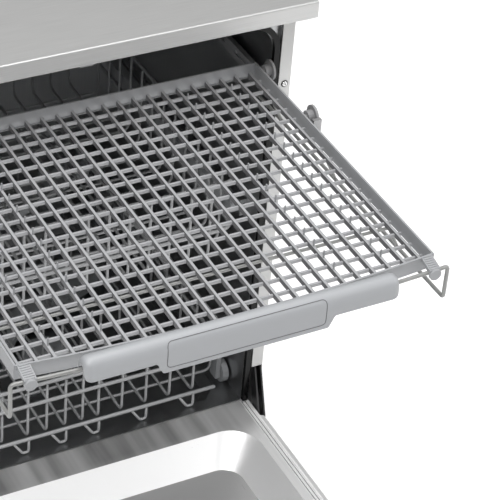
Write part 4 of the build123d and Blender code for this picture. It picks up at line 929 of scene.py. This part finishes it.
def backdrop():
    size = FLOOR_REACH
    corners = [(-size, -size, 0), (size, -size, 0), (size, size, 0), (-size, size, 0)]
    mesh = bpy.data.meshes.new("floor")
    mesh.from_pydata(corners, [], [(0, 1, 2, 3)])
    floor = bpy.data.objects.new("floor", mesh)
    bpy.context.scene.collection.objects.link(floor)
    material = finishes["pale floor"]
    shader = material.node_tree.nodes["Principled BSDF"]
    shader.inputs["Emission Color"].default_value = WHITE
    shader.inputs["Emission Strength"].default_value = FLOOR_GLOW
    mesh.materials.append(material)
    floor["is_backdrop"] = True


def lamp(name, place, target, size, power):
    light = bpy.data.lights.new(name, "AREA")
    light.shape = "RECTANGLE"
    light.size, light.size_y = size
    light.energy = power
    holder = bpy.data.objects.new(name, light)
    bpy.context.scene.collection.objects.link(holder)
    holder.location = place
    holder.rotation_euler = (Vector(target) - Vector(place)).to_track_quat("-Z", "Y").to_euler()


def surroundings():
    """White for the camera, and for everything else a room that is darker below."""
    world = bpy.data.worlds.new("studio")
    bpy.context.scene.world = world
    world.use_nodes = True
    tree = world.node_tree
    tree.nodes.clear()
    out = tree.nodes.new("ShaderNodeOutputWorld")
    mix = tree.nodes.new("ShaderNodeMixShader")
    path = tree.nodes.new("ShaderNodeLightPath")
    seen = tree.nodes.new("ShaderNodeBackground")
    room = tree.nodes.new("ShaderNodeBackground")
    place = tree.nodes.new("ShaderNodeTexCoord")
    height = parts_of(tree, place.outputs["Generated"])["Z"]
    ramp = ramp_of(tree, ROOM_RAMP, ROOM_DARK, WHITE)
    seen.inputs["Color"].default_value = WHITE
    seen.inputs["Strength"].default_value = 1.0
    room.inputs["Strength"].default_value = ROOM_LIGHT
    tree.links.new(height, ramp.inputs["Fac"])
    tree.links.new(ramp.outputs["Color"], room.inputs["Color"])
    tree.links.new(path.outputs["Is Camera Ray"], mix.inputs["Fac"])
    tree.links.new(room.outputs["Background"], mix.inputs[1])
    tree.links.new(seen.outputs["Background"], mix.inputs[2])
    tree.links.new(mix.outputs["Shader"], out.inputs["Surface"])


def camera():
    eye = bpy.data.cameras.new("camera")
    eye.angle = CAMERA_FIELD
    eye.clip_start = CAMERA_NEAR
    holder = bpy.data.objects.new("camera", eye)
    bpy.context.scene.collection.objects.link(holder)
    back = Vector((
        math.sin(CAMERA_AZIMUTH) * math.cos(CAMERA_ELEVATION),
        -math.cos(CAMERA_AZIMUTH) * math.cos(CAMERA_ELEVATION),
        math.sin(CAMERA_ELEVATION),
    ))
    level = Vector((math.cos(CAMERA_AZIMUTH), math.sin(CAMERA_AZIMUTH), 0))
    rise = back.cross(level)
    right = level * math.cos(CAMERA_ROLL) + rise * math.sin(CAMERA_ROLL)
    up = rise * math.cos(CAMERA_ROLL) - level * math.sin(CAMERA_ROLL)
    turn = Matrix((right, up, back)).transposed().to_4x4()
    holder.matrix_world = Matrix.Translation(CAMERA_PLACE) @ turn
    bpy.context.scene.camera = holder


backdrop()
surroundings()
for name, settings in LAMPS.items():
    lamp(name, *settings)
camera()

scene = bpy.context.scene
scene.view_settings.view_transform = "Standard"
scene.view_settings.look = "None"

end_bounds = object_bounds()


def plain(value):
    """Vectors and tuples as plain lists."""
    return [plain(part) for part in value] if hasattr(value, "__len__") else float(value)


{"start": plain(start_bounds), "end": plain(end_bounds)}
